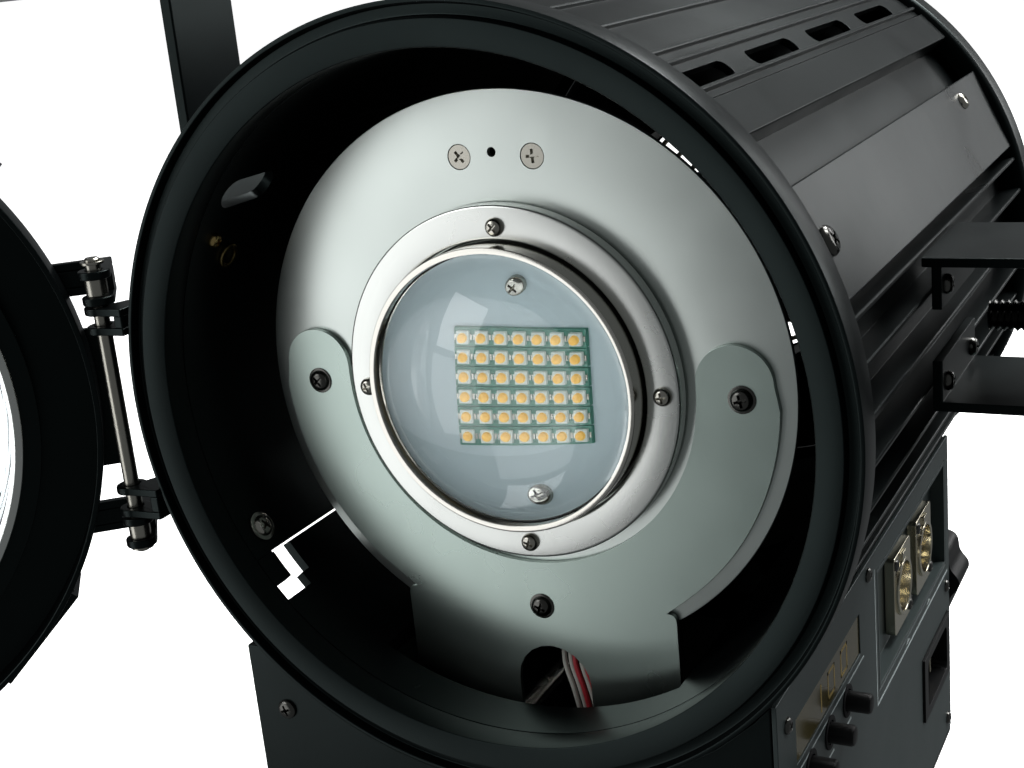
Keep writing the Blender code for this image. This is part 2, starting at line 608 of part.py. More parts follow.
def build_tilt_brackets():
    low, high, sheet = TILT_DEPTH - TILT_WIDTH / 2, TILT_DEPTH + TILT_WIDTH / 2, 3 * MM
    top, bottom, tab = 30 * MM, -18 * MM, 118.7 * MM
    web = TILT_WEB + sheet
    section = [(115.8 * MM, top - sheet), (tab, top - sheet), (tab, 14 * MM), (tab + sheet, 14 * MM),
               (tab + sheet, top - sheet), (TILT_WEB, top - sheet), (TILT_WEB, bottom + sheet),
               (tab + sheet, bottom + sheet), (tab + sheet, -2 * MM), (tab, -2 * MM), (tab, bottom),
               (web, bottom), (web, top), (115.8 * MM, top)]
    for side, name in ((-1, "tilt_bracket_left"), (1, "tilt_bracket_right")):
        outline = [(side * u, v) for u, v in section]
        bracket = add_object(name, plate("Y", outline, low, high), "black_paint")
        hole = rod("X", place(0, TILT_DEPTH, TILT_HEIGHT), STUD_RADIUS + GAP,
                   min(side * 140, side * 170) * MM, max(side * 140, side * 170) * MM)
        cut(bracket, hole, name + "_hole")


def build_yoke():
    outer = YOKE_INNER + YOKE_THICK
    rise = TILT_HEIGHT + YOKE_REACH
    bend = 14 * MM
    outside = arc(outer - bend, rise + YOKE_THICK - bend, bend, 0, 90, 5)
    inside = arc(outer - bend, rise + YOKE_THICK - bend, bend - YOKE_THICK, 90, 0, 5)
    foot = TILT_HEIGHT - YOKE_WIDTH / 2
    right = [(outer, foot)] + outside
    left = [(-u, v) for u, v in reversed(right)]
    inner_left = [(-u, v) for u, v in reversed(inside)]
    outline = right + left + [(-YOKE_INNER, foot)] + inner_left + inside + [(YOKE_INNER, foot)]
    half = YOKE_WIDTH / 2
    pivot = place(0, TILT_DEPTH, TILT_HEIGHT)
    bent_strip = plate("Y", outline, TILT_DEPTH - half, TILT_DEPTH + half)
    yoke = add_object("yoke", bent_strip, "black_paint", pivot)
    cut(yoke, rod("X", pivot, STUD_RADIUS + GAP, -200 * MM, 200 * MM), "yoke_pivot_holes")
    top = place(0, TILT_DEPTH, 0)
    cut(yoke, rod("Z", top, 5.3 * MM, rise - 10 * MM, rise + 20 * MM), "spigot_hole")
    face = rise + YOKE_THICK + GAP
    profile = [(0, rise - 7 * MM), (9 * MM, rise - 7 * MM), (9 * MM, rise - GAP), (5 * MM, rise - GAP),
               (5 * MM, face), (SPIGOT_RADIUS, face), (SPIGOT_RADIUS, face + 18 * MM),
               (SPIGOT_RADIUS - 2 * MM, face + 20 * MM), (SPIGOT_RADIUS - 2 * MM, face + 30 * MM),
               (SPIGOT_RADIUS, face + 32 * MM), (SPIGOT_RADIUS, face + 54 * MM),
               (SPIGOT_RADIUS - 1.5 * MM, face + 56 * MM), (0, face + 56 * MM)]
    add_object("spigot", lathe(profile, "Z", top, SMALL_STEPS), "steel", pivot)


def build_tilt_clamp():
    pivot = place(0, TILT_DEPTH, TILT_HEIGHT)
    outer = YOKE_INNER + YOKE_THICK
    bolt = [(0, 131 * MM), (STUD_RADIUS, 131 * MM), (STUD_RADIUS, outer + GAP), (10 * MM, outer + GAP),
            (10 * MM, outer + 5 * MM), (8 * MM, outer + 7 * MM), (0, outer + 7 * MM)]
    left_bolt = lathe([(radius, -x) for radius, x in bolt], "X", pivot, SMALL_STEPS)
    add_object("pivot_bolt_left", left_bolt, "steel", pivot)
    stud = rod("X", pivot, STUD_RADIUS, 131 * MM, outer + 16 * MM)
    add_object("tilt_stud", stud, "steel", pivot)
    outline = [(TILT_DEPTH + u, TILT_HEIGHT + v) for u, v in wavy_circle(21 * MM, 3.5 * MM, 5, 8)]
    lobes = plate("X", outline, outer + 8 * MM, outer + 26 * MM)
    grip = add_object("tilt_knob", lobes, "black_plastic", pivot)
    join(grip, rod("X", pivot, 11 * MM, outer + 1 * MM, outer + 12 * MM), "knob_neck")
    cut(grip, rod("X", pivot, STUD_RADIUS + GAP, outer - 5 * MM, outer + 17 * MM), "tilt_knob_bore")


# ---------------------------------------------------------------- door, hinge and accessory holder

EAR_ANGLES = {"accessory_ear_left": 135, "accessory_ear_lower_left": -135,
              "accessory_ear_lower_right": -45}
LATCH_ANGLE = 45
CATCH_ANGLE = 90
CATCH_RADIUS = 129.5 * MM
LUG_HEIGHTS = {"hinge_lug_upper": (22 * MM, 31 * MM), "hinge_lug_lower": (-41.5 * MM, -31 * MM)}
ARM_HEIGHTS = {"door_arm_upper": (31.6 * MM, 43 * MM), "door_arm_lower": (-53 * MM, -42.1 * MM)}


def door_object(name, shape, finish, origin=None):
    """Add a door piece, drawn shut and stored open by turning it about the hinge pin."""
    hinge = place(HINGE_X, HINGE_DEPTH, 0)
    turn = Matrix.Rotation(math.radians(-DOOR_OPEN_DEG), 4, "Z")
    moved = origin or hinge
    item = add_object(name, shape, finish, moved)
    item.location = hinge + turn.to_3x3() @ (moved - hinge)
    item.rotation_euler.z = math.radians(-DOOR_OPEN_DEG)
    return item


def build_hinge():
    pin = place(HINGE_X, HINGE_DEPTH, 0)
    add_object("hinge_pin", rod("Z", pin, PIN_RADIUS, -55 * MM, 47 * MM), "steel")
    knuckle = arc(HINGE_X, HINGE_DEPTH, 5.2 * MM, 60, 315, 10)
    hole = circle(HINGE_X, HINGE_DEPTH, PIN_RADIUS + GAP, 16)
    for name, (low, high) in LUG_HEIGHTS.items():
        nearest = min(abs(low), abs(high))
        reach = -math.sqrt(RING_RADIUS ** 2 - nearest ** 2) - GAP
        outline = knuckle + [(reach, -0.9 * MM), (reach, 14 * MM), (-124 * MM, 14 * MM)]
        add_object(name, plate("Z", outline, low, high, [hole]), "black_paint")
    for name, (low, high) in ARM_HEIGHTS.items():
        front = DOOR_FACE - GAP
        arm = arc(HINGE_X, HINGE_DEPTH, 5.2 * MM, -60, 180, 10)
        arm += [(-135.2 * MM, front - 3 * MM), (-103 * MM, front - 3 * MM),
                (-103 * MM, front), (-127.4 * MM, front)]
        door_object(name, plate("Z", arm, low, high, [hole]), "black_paint")


def build_door():
    centre = place(0, 0, 0)
    front = DOOR_FACE
    behind = front + 2 * MM
    profile = [(97 * MM, front), (DOOR_RADIUS - 1 * MM, front), (DOOR_RADIUS, front + 1 * MM),
               (DOOR_RADIUS, -1.5 * MM), (DOOR_RADIUS - 2 * MM, -1.5 * MM), (DOOR_RADIUS - 2 * MM, behind),
               (102 * MM, behind), (102 * MM, -6 * MM), (100.2 * MM, -6 * MM), (100.2 * MM, behind),
               (97 * MM, behind)]
    door = door_object("door_ring", lathe(profile, "Y", centre, BIG_STEPS), "black_paint")
    tab = rounded(119 * MM, -9 * MM, 136 * MM, 9 * MM, 3 * MM)
    tab_hole = circle(CATCH_RADIUS, 0, 2.6 * MM, 12)
    latch_tab = plate("Y", tab, front + 0.2 * MM, front + 2.4 * MM, [tab_hole])
    join(door, about_axis(latch_tab, CATCH_ANGLE), "latch_tab")
    door_object("fresnel_lens", fresnel_lens(), "clear_glass")
    retainer = [(95.5 * MM, -5.2 * MM), (99.8 * MM, -5.2 * MM), (99.8 * MM, -5.6 * MM),
                (104 * MM, -5.6 * MM), (104 * MM, -3.9 * MM), (95.5 * MM, -3.9 * MM)]
    door_object("lens_retainer", lathe(retainer, "Y", centre, 40), "aluminium")
    for name, angle in EAR_ANGLES.items():
        door_object(name, accessory_ear(angle), "black_paint")
    build_accessory_latch()
    build_door_screw()


def fresnel_lens():
    """A stepped lens: each zone rises in a short slope and drops back at a riser."""
    front, back, zones, slope = DOOR_FACE + 2.3 * MM, -5.9 * MM, 5, 2.6 * MM
    points = [(0, front)]
    for i in range(1, zones + 1):
        radius = 93 * MM * i / zones
        points += [(radius, front + slope), (radius + 0.4 * MM, front)]
    points += [(LENS_RADIUS, front), (LENS_RADIUS, back), (0, back)]
    return lathe(points, "Y", place(0, 0, 0), 40)


def about_axis(shape, angle_deg):
    """Turn a shape about the optical axis."""
    axis = Matrix.Translation(place(0, 0, 0))
    turn = axis @ Matrix.Rotation(math.radians(-angle_deg), 4, "Y") @ axis.inverted()
    bmesh.ops.transform(shape, matrix=turn, verts=shape.verts[:])
    return shape


def accessory_ear(angle_deg):
    """A channel on the door's face that accessories slide into."""
    base, lip, wall = DOOR_FACE - GAP, DOOR_FACE - 24 * MM, 2 * MM
    section = [(108 * MM, base), (127 * MM, base), (127 * MM, lip), (112 * MM, lip),
               (112 * MM, lip + wall), (125 * MM, lip + wall), (125 * MM, base - wall),
               (108 * MM, base - wall)]
    return about_axis(plate("Z", section, -20 * MM, 20 * MM), angle_deg)


def build_accessory_latch():
    """A turning tab on its own post, which shuts the accessory channel."""
    base = DOOR_FACE - GAP
    pivot_radius = 117 * MM
    tab = slot(pivot_radius - 4 * MM, 0, 30 * MM, 11 * MM)
    latch = plate("Y", tab, base - 24 * MM, base - 22 * MM)
    post = rod("Y", place(pivot_radius, 0, 0), 4.5 * MM, base - 23 * MM, base, 16)
    pivot_u, pivot_v = polar(pivot_radius, LATCH_ANGLE)
    pivot = place(pivot_u, base, pivot_v)
    item = door_object("accessory_latch", about_axis(latch, LATCH_ANGLE), "steel", pivot)
    join(item, about_axis(post, LATCH_ANGLE), "latch_post")


def build_door_screw():
    """The captive thumbscrew that holds the door shut, and the drilled catch it enters."""
    centre = place(CATCH_RADIUS, 0, 0)
    front = DOOR_FACE
    profile = [(0, front - 12 * MM), (7.5 * MM, front - 12 * MM), (8 * MM, front - 11.5 * MM),
               (8 * MM, front - 3 * MM), (4 * MM, front - 2 * MM), (4 * MM, front - 0.5 * MM),
               (2.2 * MM, front - 0.5 * MM), (2.2 * MM, 9 * MM), (0, 9 * MM)]
    screw = about_axis(lathe(profile, "Y", centre, 16), CATCH_ANGLE)
    across, up = polar(CATCH_RADIUS, CATCH_ANGLE)
    door_object("door_screw", screw, "steel", place(across, front, up))
    outline = rectangle(RING_RADIUS + GAP, -8 * MM, 136 * MM, 8 * MM)
    catch = plate("Y", outline, 3 * MM, 13 * MM, [circle(CATCH_RADIUS, 0, 3.6 * MM, 16)])
    add_object("door_catch", about_axis(catch, CATCH_ANGLE), "black_paint")


def build_lamp():
    clear_scene()
    build_front_ring()
    build_drum()
    build_rear()
    build_fan()
    build_box()
    build_panel()
    build_electronics()
    build_rods()
    build_carriage()
    build_focus()
    build_tilt_brackets()
    build_yoke()
    build_tilt_clamp()
    build_hinge()
    build_door()


build_lamp()
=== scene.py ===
"""Looks of the Fresnel spotlight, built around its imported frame.

Lengths are in millimetres from the optical centre: x across (the lamp's right is positive),
depth behind the front ring's face, height above the optical axis.
"""
import math

import bmesh
import bpy
from mathutils import Matrix, Vector


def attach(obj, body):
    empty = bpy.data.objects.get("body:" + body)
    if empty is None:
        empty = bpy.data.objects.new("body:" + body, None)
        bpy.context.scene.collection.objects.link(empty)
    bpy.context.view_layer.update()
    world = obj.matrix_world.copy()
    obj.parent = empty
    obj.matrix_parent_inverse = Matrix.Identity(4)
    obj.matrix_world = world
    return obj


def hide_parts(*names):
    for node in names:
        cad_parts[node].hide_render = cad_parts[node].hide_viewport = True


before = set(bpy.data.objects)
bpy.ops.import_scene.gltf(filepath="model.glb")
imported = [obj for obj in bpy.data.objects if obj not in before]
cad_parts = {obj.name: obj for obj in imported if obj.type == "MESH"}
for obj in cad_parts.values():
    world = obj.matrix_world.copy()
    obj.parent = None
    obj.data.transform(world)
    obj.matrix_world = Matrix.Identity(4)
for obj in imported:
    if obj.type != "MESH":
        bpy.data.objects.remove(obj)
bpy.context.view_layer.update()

MM = 0.001
FRONT_Y = -120
AXIS_Z = 215
HINGE = (-130, 2.5)
OPEN_DEG = 140
PIVOT = (0, 112, 6)
FOCUS_AXIS = (76, 0, -147)
FLAT_DEG = 32


# ---------------------------------------------------------------- shapes

def place(x, depth, height):
    """A point given from the optical centre, in the frame's metres."""
    return Vector((x, depth + FRONT_Y, height + AXIS_Z)) * MM


def polar(radius, angle_deg):
    return (radius * math.cos(math.radians(angle_deg)), radius * math.sin(math.radians(angle_deg)))


def arc(u, v, radius, start_deg, end_deg, steps):
    angles = [start_deg + (end_deg - start_deg) * i / steps for i in range(steps + 1)]
    return [(u + polar(radius, a)[0], v + polar(radius, a)[1]) for a in angles]


def circle(u, v, radius, steps=32):
    return arc(u, v, radius, 0, 360 - 360 / steps, steps - 1)


def rectangle(u0, v0, u1, v1):
    return [(u0, v0), (u1, v0), (u1, v1), (u0, v1)]


def soften(points, radius, steps=3):
    """Round the sharp corners of a closed outline."""
    rounded = []
    for i, point in enumerate(points):
        here = Vector(point)
        before = Vector(points[i - 1]) - here
        after = Vector(points[(i + 1) % len(points)]) - here
        if before.angle(after, math.pi) > math.radians(160):
            rounded.append(tuple(here))
            continue
        start = here + before.normalized() * min(radius, before.length * 0.45)
        end = here + after.normalized() * min(radius, after.length * 0.45)
        for k in range(steps + 1):
            t = k / steps
            rounded.append(tuple(start * (1 - t) ** 2 + here * 2 * t * (1 - t) + end * t * t))
    return rounded


def lobed(u, v, radius, swell, lobes):
    """The outline of a knob with rounded lobes."""
    points = [polar(radius + swell * math.cos(math.radians(a * lobes)), a) for a in range(0, 360, 3)]
    return [(u + across, v + up) for across, up in points]


def slot_outline(u, v, length, width, steps=10):
    half = (length - width) / 2
    return arc(u + half, v, width / 2, -90, 90, steps) + arc(u - half, v, width / 2, 90, 270, steps)


def to_frame(axis, u, v, w):
    if axis == "X":
        return place(w, u, v)
    if axis == "Y":
        return place(u, w, v)
    return place(u, v, w)


def circle_point(axis, centre, radius, angle_deg, along):
    """A point on a circle about an axis through the centre, some way along that axis."""
    a, b = polar(radius, angle_deg)
    offset = {"X": (along, a, b), "Y": (a, along, b), "Z": (a, b, along)}[axis]
    return place(*(c + o for c, o in zip(centre, offset)))


def skin(shape, rings):
    """Join rings that have the same number of corners with four-sided faces."""
    for first, second in zip(rings, rings[1:]):
        count = len(first)
        for i in range(count):
            shape.faces.new([first[i], first[(i + 1) % count], second[(i + 1) % count], second[i]])


def face_out(shape):
    """Make every face of a closed shape point away from its inside."""
    bmesh.ops.recalc_face_normals(shape, faces=shape.faces[:])
    if shape.calc_volume(signed=True) < 0:
        bmesh.ops.reverse_faces(shape, faces=shape.faces[:])
    return shape


def lathe(profile, axis="Y", centre=(0, 0, 0), steps=128):
    """Turn (radius, along) points about an axis; the profile closes unless it starts on the axis."""
    shape = bmesh.new()
    rings = []
    for radius, along in profile:
        rings.append([shape.verts.new(circle_point(axis, centre, radius, 360 * i / steps, along))
                      for i in range(1 if radius < 1e-6 else steps)])
    pairs = list(zip(rings, rings[1:]))
    if all(len(ring) > 1 for ring in rings):
        pairs.append((rings[-1], rings[0]))
    for first, second in pairs:
        for i in range(steps):
            corners = [first[i % len(first)], first[(i + 1) % len(first)],
                       second[(i + 1) % len(second)], second[i % len(second)]]
            corners = list(dict.fromkeys(corners))
            if len(corners) > 2:
                shape.faces.new(corners)
    return face_out(shape)


def rod(axis, centre, radius, low, high, steps=32, chamfer=0.4):
    inner = radius - chamfer
    profile = [(0, low), (inner, low), (radius, low + chamfer),
               (radius, high - chamfer), (inner, high), (0, high)]
    return lathe(profile, axis, centre, steps)


def tube(axis, centre, inner, outer, low, high, steps=48, soft=0.4):
    profile = soften(rectangle(inner, low, outer, high), soft, 2)
    return lathe(profile, axis, centre, steps)


def plate(axis, outline, low, high, holes=()):
    """A flat plate: an outline with holes in it, from low to high along the axis."""
    shape = bmesh.new()
    edges = []
    for loop in [outline, *holes]:
        verts = [shape.verts.new((u, v, low)) for u, v in loop]
        edges += [shape.edges.new((verts[i - 1], verts[i])) for i in range(len(verts))]
    bmesh.ops.triangle_fill(shape, use_beauty=True, use_dissolve=False, edges=edges)
    raised = bmesh.ops.extrude_face_region(shape, geom=shape.faces[:])["geom"]
    bmesh.ops.translate(shape, vec=(0, 0, high - low),
                        verts=[item for item in raised if isinstance(item, bmesh.types.BMVert)])
    for vert in shape.verts:
        vert.co = to_frame(axis, *vert.co)
    return face_out(shape)


def block(low, high):
    return plate("Z", rectangle(low[0], low[1], high[0], high[1]), low[2], high[2])


def merge(shapes):
    whole = bmesh.new()
    for shape in shapes:
        mesh = bpy.data.meshes.new("scratch")
        shape.to_mesh(mesh)
        shape.free()
        whole.from_mesh(mesh)
        bpy.data.meshes.remove(mesh)
    return whole


def moved(shape, matrix):
    bmesh.ops.transform(shape, matrix=matrix, verts=shape.verts[:])
    return shape


def about_axis(shape, angle_deg):
    """Turn a shape about the optical axis."""
    centre = Matrix.Translation(place(0, 0, 0))
    return moved(shape, centre @ Matrix.Rotation(math.radians(-angle_deg), 4, "Y") @ centre.inverted())


def opened(shape):
    """Turn a door shape, drawn shut, to where the door stands open."""
    centre = Matrix.Translation(place(HINGE[0], HINGE[1], 0))
    return moved(shape, centre @ Matrix.Rotation(math.radians(-OPEN_DEG), 4, "Z") @ centre.inverted())


def smooth_path(points, steps=8):
    """A Catmull-Rom curve through points."""
    ends = [points[0], *points, points[-1]]
    curve = []
    for a, b, c, d in zip(ends, ends[1:], ends[2:], ends[3:]):
        for k in range(steps):
            t = k / steps
            curve.append(0.5 * (2 * b + (c - a) * t + (2 * a - 5 * b + 4 * c - d) * t * t
                                + (3 * b - a - 3 * c + d) * t ** 3))
    return curve + [points[-1]]


def wire(points, radius, sides=10):
    """A round wire along a smooth path through (x, depth, height) points."""
    path = smooth_path([place(*point) for point in points])
    shape = bmesh.new()
    rings = []
    across = Vector((0, 0, 1)).cross(path[1] - path[0])
    if across.length < 1e-9:
        across = Vector((1, 0, 0))
    for i, point in enumerate(path):
        along = (path[min(i + 1, len(path) - 1)] - path[max(i - 1, 0)]).normalized()
        across = (across - along * across.dot(along)).normalized()
        up = along.cross(across)
        rings.append([shape.verts.new(point + (across * polar(radius * MM, 360 * k / sides)[0]
                                               + up * polar(radius * MM, 360 * k / sides)[1]))
                      for k in range(sides)])
    skin(shape, rings)
    shape.faces.new(rings[0][::-1])
    shape.faces.new(rings[-1])
    return face_out(shape)


THREAD_DEPTH = 0.55


def threaded(axis, centre, radius, pitch, low, high, sides=24):
    """A rod with a helical thread, THREAD_DEPTH of its pitch deep."""
    shape = bmesh.new()
    rings = []
    count = int((high - low) / pitch * 6)
    for k in range(count + 1):
        along = low + (high - low) * k / count
        ring = []
        for i in range(sides):
            phase = (along / pitch + i / sides) % 1
            reach = radius - THREAD_DEPTH * pitch * abs(2 * phase - 1)
            ring.append(shape.verts.new(circle_point(axis, centre, reach, 360 * i / sides, along)))
        rings.append(ring)
    skin(shape, rings)
    shape.faces.new(rings[0])
    shape.faces.new(rings[-1])
    return face_out(shape)


# ---------------------------------------------------------------- screws

CROSS = [(1, 0.22), (0.34, 0.22), (0.22, 0.34), (0.22, 1), (-0.22, 1), (-0.22, 0.34),
         (-0.34, 0.22), (-1, 0.22), (-1, -0.22), (-0.34, -0.22), (-0.22, -0.34), (-0.22, -1),
         (0.22, -1), (0.22, -0.34), (0.34, -0.22), (1, -0.22)]
FLAT_HEAD = [(1.0, 0.0), (1.0, 0.9), (0.97, 1.0)]
ROUND_HEAD = [(1.0, 0.0), (1.0, 0.30), (0.96, 0.52), (0.88, 0.72), (0.77, 0.87), (0.66, 0.96)]


def cross_head(radius, height, flat=False):
    """A round screw head with a cross recess, standing on its own z = 0."""
    steps = 36
    shape = bmesh.new()
    rings = [[shape.verts.new((*polar(radius * r, 360 * i / steps), height * h)) for i in range(steps)]
             for r, h in (FLAT_HEAD if flat else ROUND_HEAD)]
    skin(shape, rings)
    size = radius * 0.56
    top = [shape.verts.new((u * size, v * size, height)) for u, v in CROSS]
    floor = [shape.verts.new((u * size * 0.62, v * size * 0.62, height - radius * 0.42)) for u, v in CROSS]
    rim_edges = [shape.edges.get((rings[-1][i - 1], rings[-1][i])) for i in range(steps)]
    cross_edges = [shape.edges.new((top[i - 1], top[i])) for i in range(len(top))]
    bmesh.ops.triangle_fill(shape, use_beauty=True, use_dissolve=False, edges=rim_edges + cross_edges)
    for i in range(len(top)):
        shape.faces.new([top[i - 1], top[i], floor[i], floor[i - 1]])
    shape.faces.new(floor)
    shape.faces.new(rings[0][::-1])
    return face_out(shape)


def aimed(shape, point, direction, spin_deg=0):
    """Stand a shape drawn at z = 0 in millimetres on a point, its z axis along a direction."""
    turn = Vector(direction).to_track_quat("Z", "Y").to_matrix().to_4x4()
    spin = Matrix.Rotation(math.radians(spin_deg), 4, "Z")
    return moved(shape, Matrix.Translation(place(*point)) @ turn @ spin @ Matrix.Scale(MM, 4))


def washer(radius, hole, thick):
    """A flat ring drawn at z = 0 in millimetres."""
    shape = bmesh.new()
    steps = 40
    profile = soften(rectangle(hole, 0, radius, thick), thick * 0.3, 2)
    rings = [[shape.verts.new((*polar(r, 360 * i / steps), z)) for i in range(steps)] for r, z in profile]
    skin(shape, rings + rings[:1])
    return face_out(shape)


def hex_nut(across_flats, thick):
    """A hexagonal nut drawn at z = 0 in millimetres."""
    shape = bmesh.new()
    corner = across_flats / math.sqrt(3)
    levels = [(0.93, 0), (1, thick * 0.12), (1, thick * 0.88), (0.93, thick)]
    rings = [[shape.verts.new((*polar(corner * share, 60 * i), z)) for i in range(6)] for share, z in levels]
    skin(shape, rings)
    shape.faces.new(rings[0][::-1])
    shape.faces.new(rings[-1])
    return face_out(shape)


# ---------------------------------------------------------------- materials

def set_inputs(node, values):
    for name, value in values.items():
        node.inputs[name].default_value = value


def surface(name, colour, roughness, metallic=0.0, clouds=0.08, grain=0.0, grain_size=0.6,
            stretch=(1, 1, 1), rough_range=0.05, specular=0.5, painted_glow=0.0, sheen_tint=(1, 1, 1)):
    """A finish with soft clouds in its colour and roughness, a fine grain as bump, and an optional glow of
    painted light in its own colour.
    """
    material = bpy.data.materials.new(name)
    material.use_nodes = True
    nodes, links = material.node_tree.nodes, material.node_tree.links
    shader = nodes["Principled BSDF"]
    set_inputs(shader, {"Metallic": metallic, "Specular IOR Level": specular,
                        "Specular Tint": (*sheen_tint, 1)})
    # Painted light: the glow makes a part shine in its own colour, in place of lamp light that the glass lens
    # keeps from reaching it.
    if painted_glow:
        set_inputs(shader, {"Emission Color": (*colour, 1), "Emission Strength": painted_glow})
    where = nodes.new("ShaderNodeTexCoord")
    soft = nodes.new("ShaderNodeTexNoise")
    set_inputs(soft, {"Scale": 18, "Detail": 5})
    links.new(where.outputs["Object"], soft.inputs["Vector"])
    tint = nodes.new("ShaderNodeMix")
    tint.data_type = "RGBA"
    links.new(soft.outputs["Fac"], tint.inputs["Factor"])
    set_inputs(tint, {"A": (*(c * (1 - clouds) for c in colour), 1),
                      "B": (*(min(1, c * (1 + clouds)) for c in colour), 1)})
    links.new(tint.outputs["Result"], shader.inputs["Base Color"])
    level = nodes.new("ShaderNodeMapRange")
    set_inputs(level, {"From Min": 0.3, "From Max": 0.7, "To Min": max(0.02, roughness - rough_range),
                       "To Max": roughness + rough_range})
    links.new(soft.outputs["Fac"], level.inputs["Value"])
    links.new(level.outputs["Result"], shader.inputs["Roughness"])
    if grain:
        scaled = nodes.new("ShaderNodeMapping")
        set_inputs(scaled, {"Scale": stretch})
        links.new(where.outputs["Object"], scaled.inputs["Vector"])
        fine = nodes.new("ShaderNodeTexNoise")
        set_inputs(fine, {"Scale": 1000 / grain_size, "Detail": 2})
        links.new(scaled.outputs["Vector"], fine.inputs["Vector"])
        bump = nodes.new("ShaderNodeBump")
        set_inputs(bump, {"Strength": grain, "Distance": 0.0002})
        links.new(fine.outputs["Fac"], bump.inputs["Height"])
        links.new(bump.outputs["Normal"], shader.inputs["Normal"])
    return material


def glass(name, tint, roughness):
    """Clear moulded glass or acrylic."""
    material = surface(name, tint, roughness, clouds=0.01, rough_range=0.0)
    set_inputs(material.node_tree.nodes["Principled BSDF"], {"Transmission Weight": 1.0, "IOR": 1.49})
    return material


FINISHES = {
    "black_paint": dict(colour=(0.0014, 0.0018, 0.0020), roughness=0.32, grain=0.08, grain_size=0.5,
                        clouds=0.15, specular=0.16, sheen_tint=(0.72, 1.0, 0.98)),
    "panel_paint": dict(colour=(0.030, 0.038, 0.038), roughness=0.42, grain=0.10, grain_size=0.5,
                        specular=0.35, sheen_tint=(0.8, 1.0, 0.99)),
    "display": dict(colour=(0.06, 0.05, 0.02), roughness=0.12, clouds=0.35),
    "nickel": dict(colour=(0.62, 0.58, 0.46), roughness=0.20, metallic=1, clouds=0.10, grain=0.03),
    "polished_steel": dict(colour=(0.36, 0.35, 0.31), roughness=0.26, metallic=1, clouds=0.16, grain=0.04),
    "black_plastic": dict(colour=(0.0016, 0.0018, 0.0020), roughness=0.40, grain=0.12, grain_size=0.4,
                          specular=0.2),
    "brushed_disc": dict(colour=(0.55, 0.60, 0.575), roughness=0.34, metallic=1, clouds=0.10, grain=0.03,
                         grain_size=1.2, stretch=(0.3, 1, 1)),
    "zinc_plate": dict(colour=(0.34, 0.41, 0.38), roughness=0.30, metallic=1, clouds=0.16, grain=0.04,
                       grain_size=1.2),
    "machined_aluminium": dict(colour=(0.60, 0.62, 0.60), roughness=0.28, metallic=1, clouds=0.05,
                               grain=0.04),
    "barrel_steel": dict(colour=(0.58, 0.57, 0.53), roughness=0.14, metallic=1, clouds=0.08, grain=0.02),
    # Painted light: the LED board and its array strips glow faintly, in place of lamp light that reaches them
    # through the condenser lens.
    "white_board": dict(colour=(0.36, 0.44, 0.46), roughness=0.45, clouds=0.04, painted_glow=0.22),
    "circuit_board": dict(colour=(0.03, 0.14, 0.10), roughness=0.35, clouds=0.15, painted_glow=0.30),
    "brass": dict(colour=(0.42, 0.31, 0.13), roughness=0.25, metallic=1, clouds=0.12),
    "driver_board": dict(colour=(0.01, 0.035, 0.025), roughness=0.45, clouds=0.15),
    "wire_cover": dict(colour=(0.36, 0.02, 0.03), roughness=0.42),
    "dark_screw": dict(colour=(0.08, 0.08, 0.075), roughness=0.22, metallic=1, clouds=0.2),
    "steel_screw": dict(colour=(0.40, 0.39, 0.35), roughness=0.20, metallic=1, clouds=0.2),
    # Painted light: the unlit chip domes and cases glow, in place of lamp light that reaches them through the
    # condenser lens.
    "phosphor": dict(colour=(0.75, 0.44, 0.09), roughness=0.40, clouds=0.15, painted_glow=0.45),
    "chip_case": dict(colour=(0.42, 0.47, 0.44), roughness=0.35, clouds=0.1, painted_glow=0.40),
    "pale_wire": dict(colour=(0.42, 0.42, 0.38), roughness=0.42),
    "print": dict(colour=(0.36, 0.41, 0.41), roughness=0.5, clouds=0.02),
    "amber": dict(colour=(0.30, 0.21, 0.05), roughness=0.4, clouds=0.1),
    "rubber": dict(colour=(0.006, 0.006, 0.007), roughness=0.7, grain=0.1, specular=0.2),
}
# One material for each finish that has a name of its own.
MATERIALS = {name: surface(name, **finish) for name, finish in FINISHES.items()}
MATERIALS["lens_glass"] = glass("lens_glass", (0.94, 0.97, 0.98), 0.0)


def add(name, data):
    item = bpy.data.objects.new(name, data)
    bpy.context.collection.objects.link(item)
    return item


def piece(name, shape, material, body, node=None, edge=0.0, sharp_deg=FLAT_DEG):
    """Turn a shape into a shown piece that rides on a body and may stand for a CAD node."""
    mesh = bpy.data.meshes.new(name)
    shape.to_mesh(mesh)
    shape.free()
    mesh.materials.append(MATERIALS[material])
    mesh.shade_smooth()
    mesh.set_sharp_from_angle(angle=math.radians(sharp_deg))
    item = add(name, mesh)
    round_edges(item, edge)
    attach(item, body)
    if node:
        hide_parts(node)
    return item


def round_edges(item, width):
    if width:
        modifier = item.modifiers.new("rounded_edges", "BEVEL")
        modifier.width = width * MM
        modifier.segments = 2
        modifier.limit_method = "ANGLE"
        modifier.angle_limit = math.radians(FLAT_DEG)
        modifier.harden_normals = True


def carve(item, shape):
    """Cut a closed shape out of a piece and keep the result as its mesh."""
    mesh = bpy.data.meshes.new("cutter")
    shape.to_mesh(mesh)
    shape.free()
    cutter = add("cutter", mesh)
    modifier = item.modifiers.new("carve", "BOOLEAN")
    modifier.operation = "DIFFERENCE"
    modifier.object = cutter
    modifier.solver = "EXACT"
    kept = [other for other in item.modifiers if other.name != modifier.name]
    shown = [other.show_viewport for other in kept]
    for other in kept:
        other.show_viewport = False
    bpy.context.view_layer.update()
    carved = bpy.data.meshes.new_from_object(item.evaluated_get(bpy.context.evaluated_depsgraph_get()))
    for other, was_shown in zip(kept, shown):
        other.show_viewport = was_shown
    item.modifiers.remove(modifier)
    bpy.data.objects.remove(cutter, do_unlink=True)
    old = item.data
    item.data = carved
    bpy.data.meshes.remove(old)
    carved.shade_smooth()
    carved.set_sharp_from_angle(angle=math.radians(FLAT_DEG))


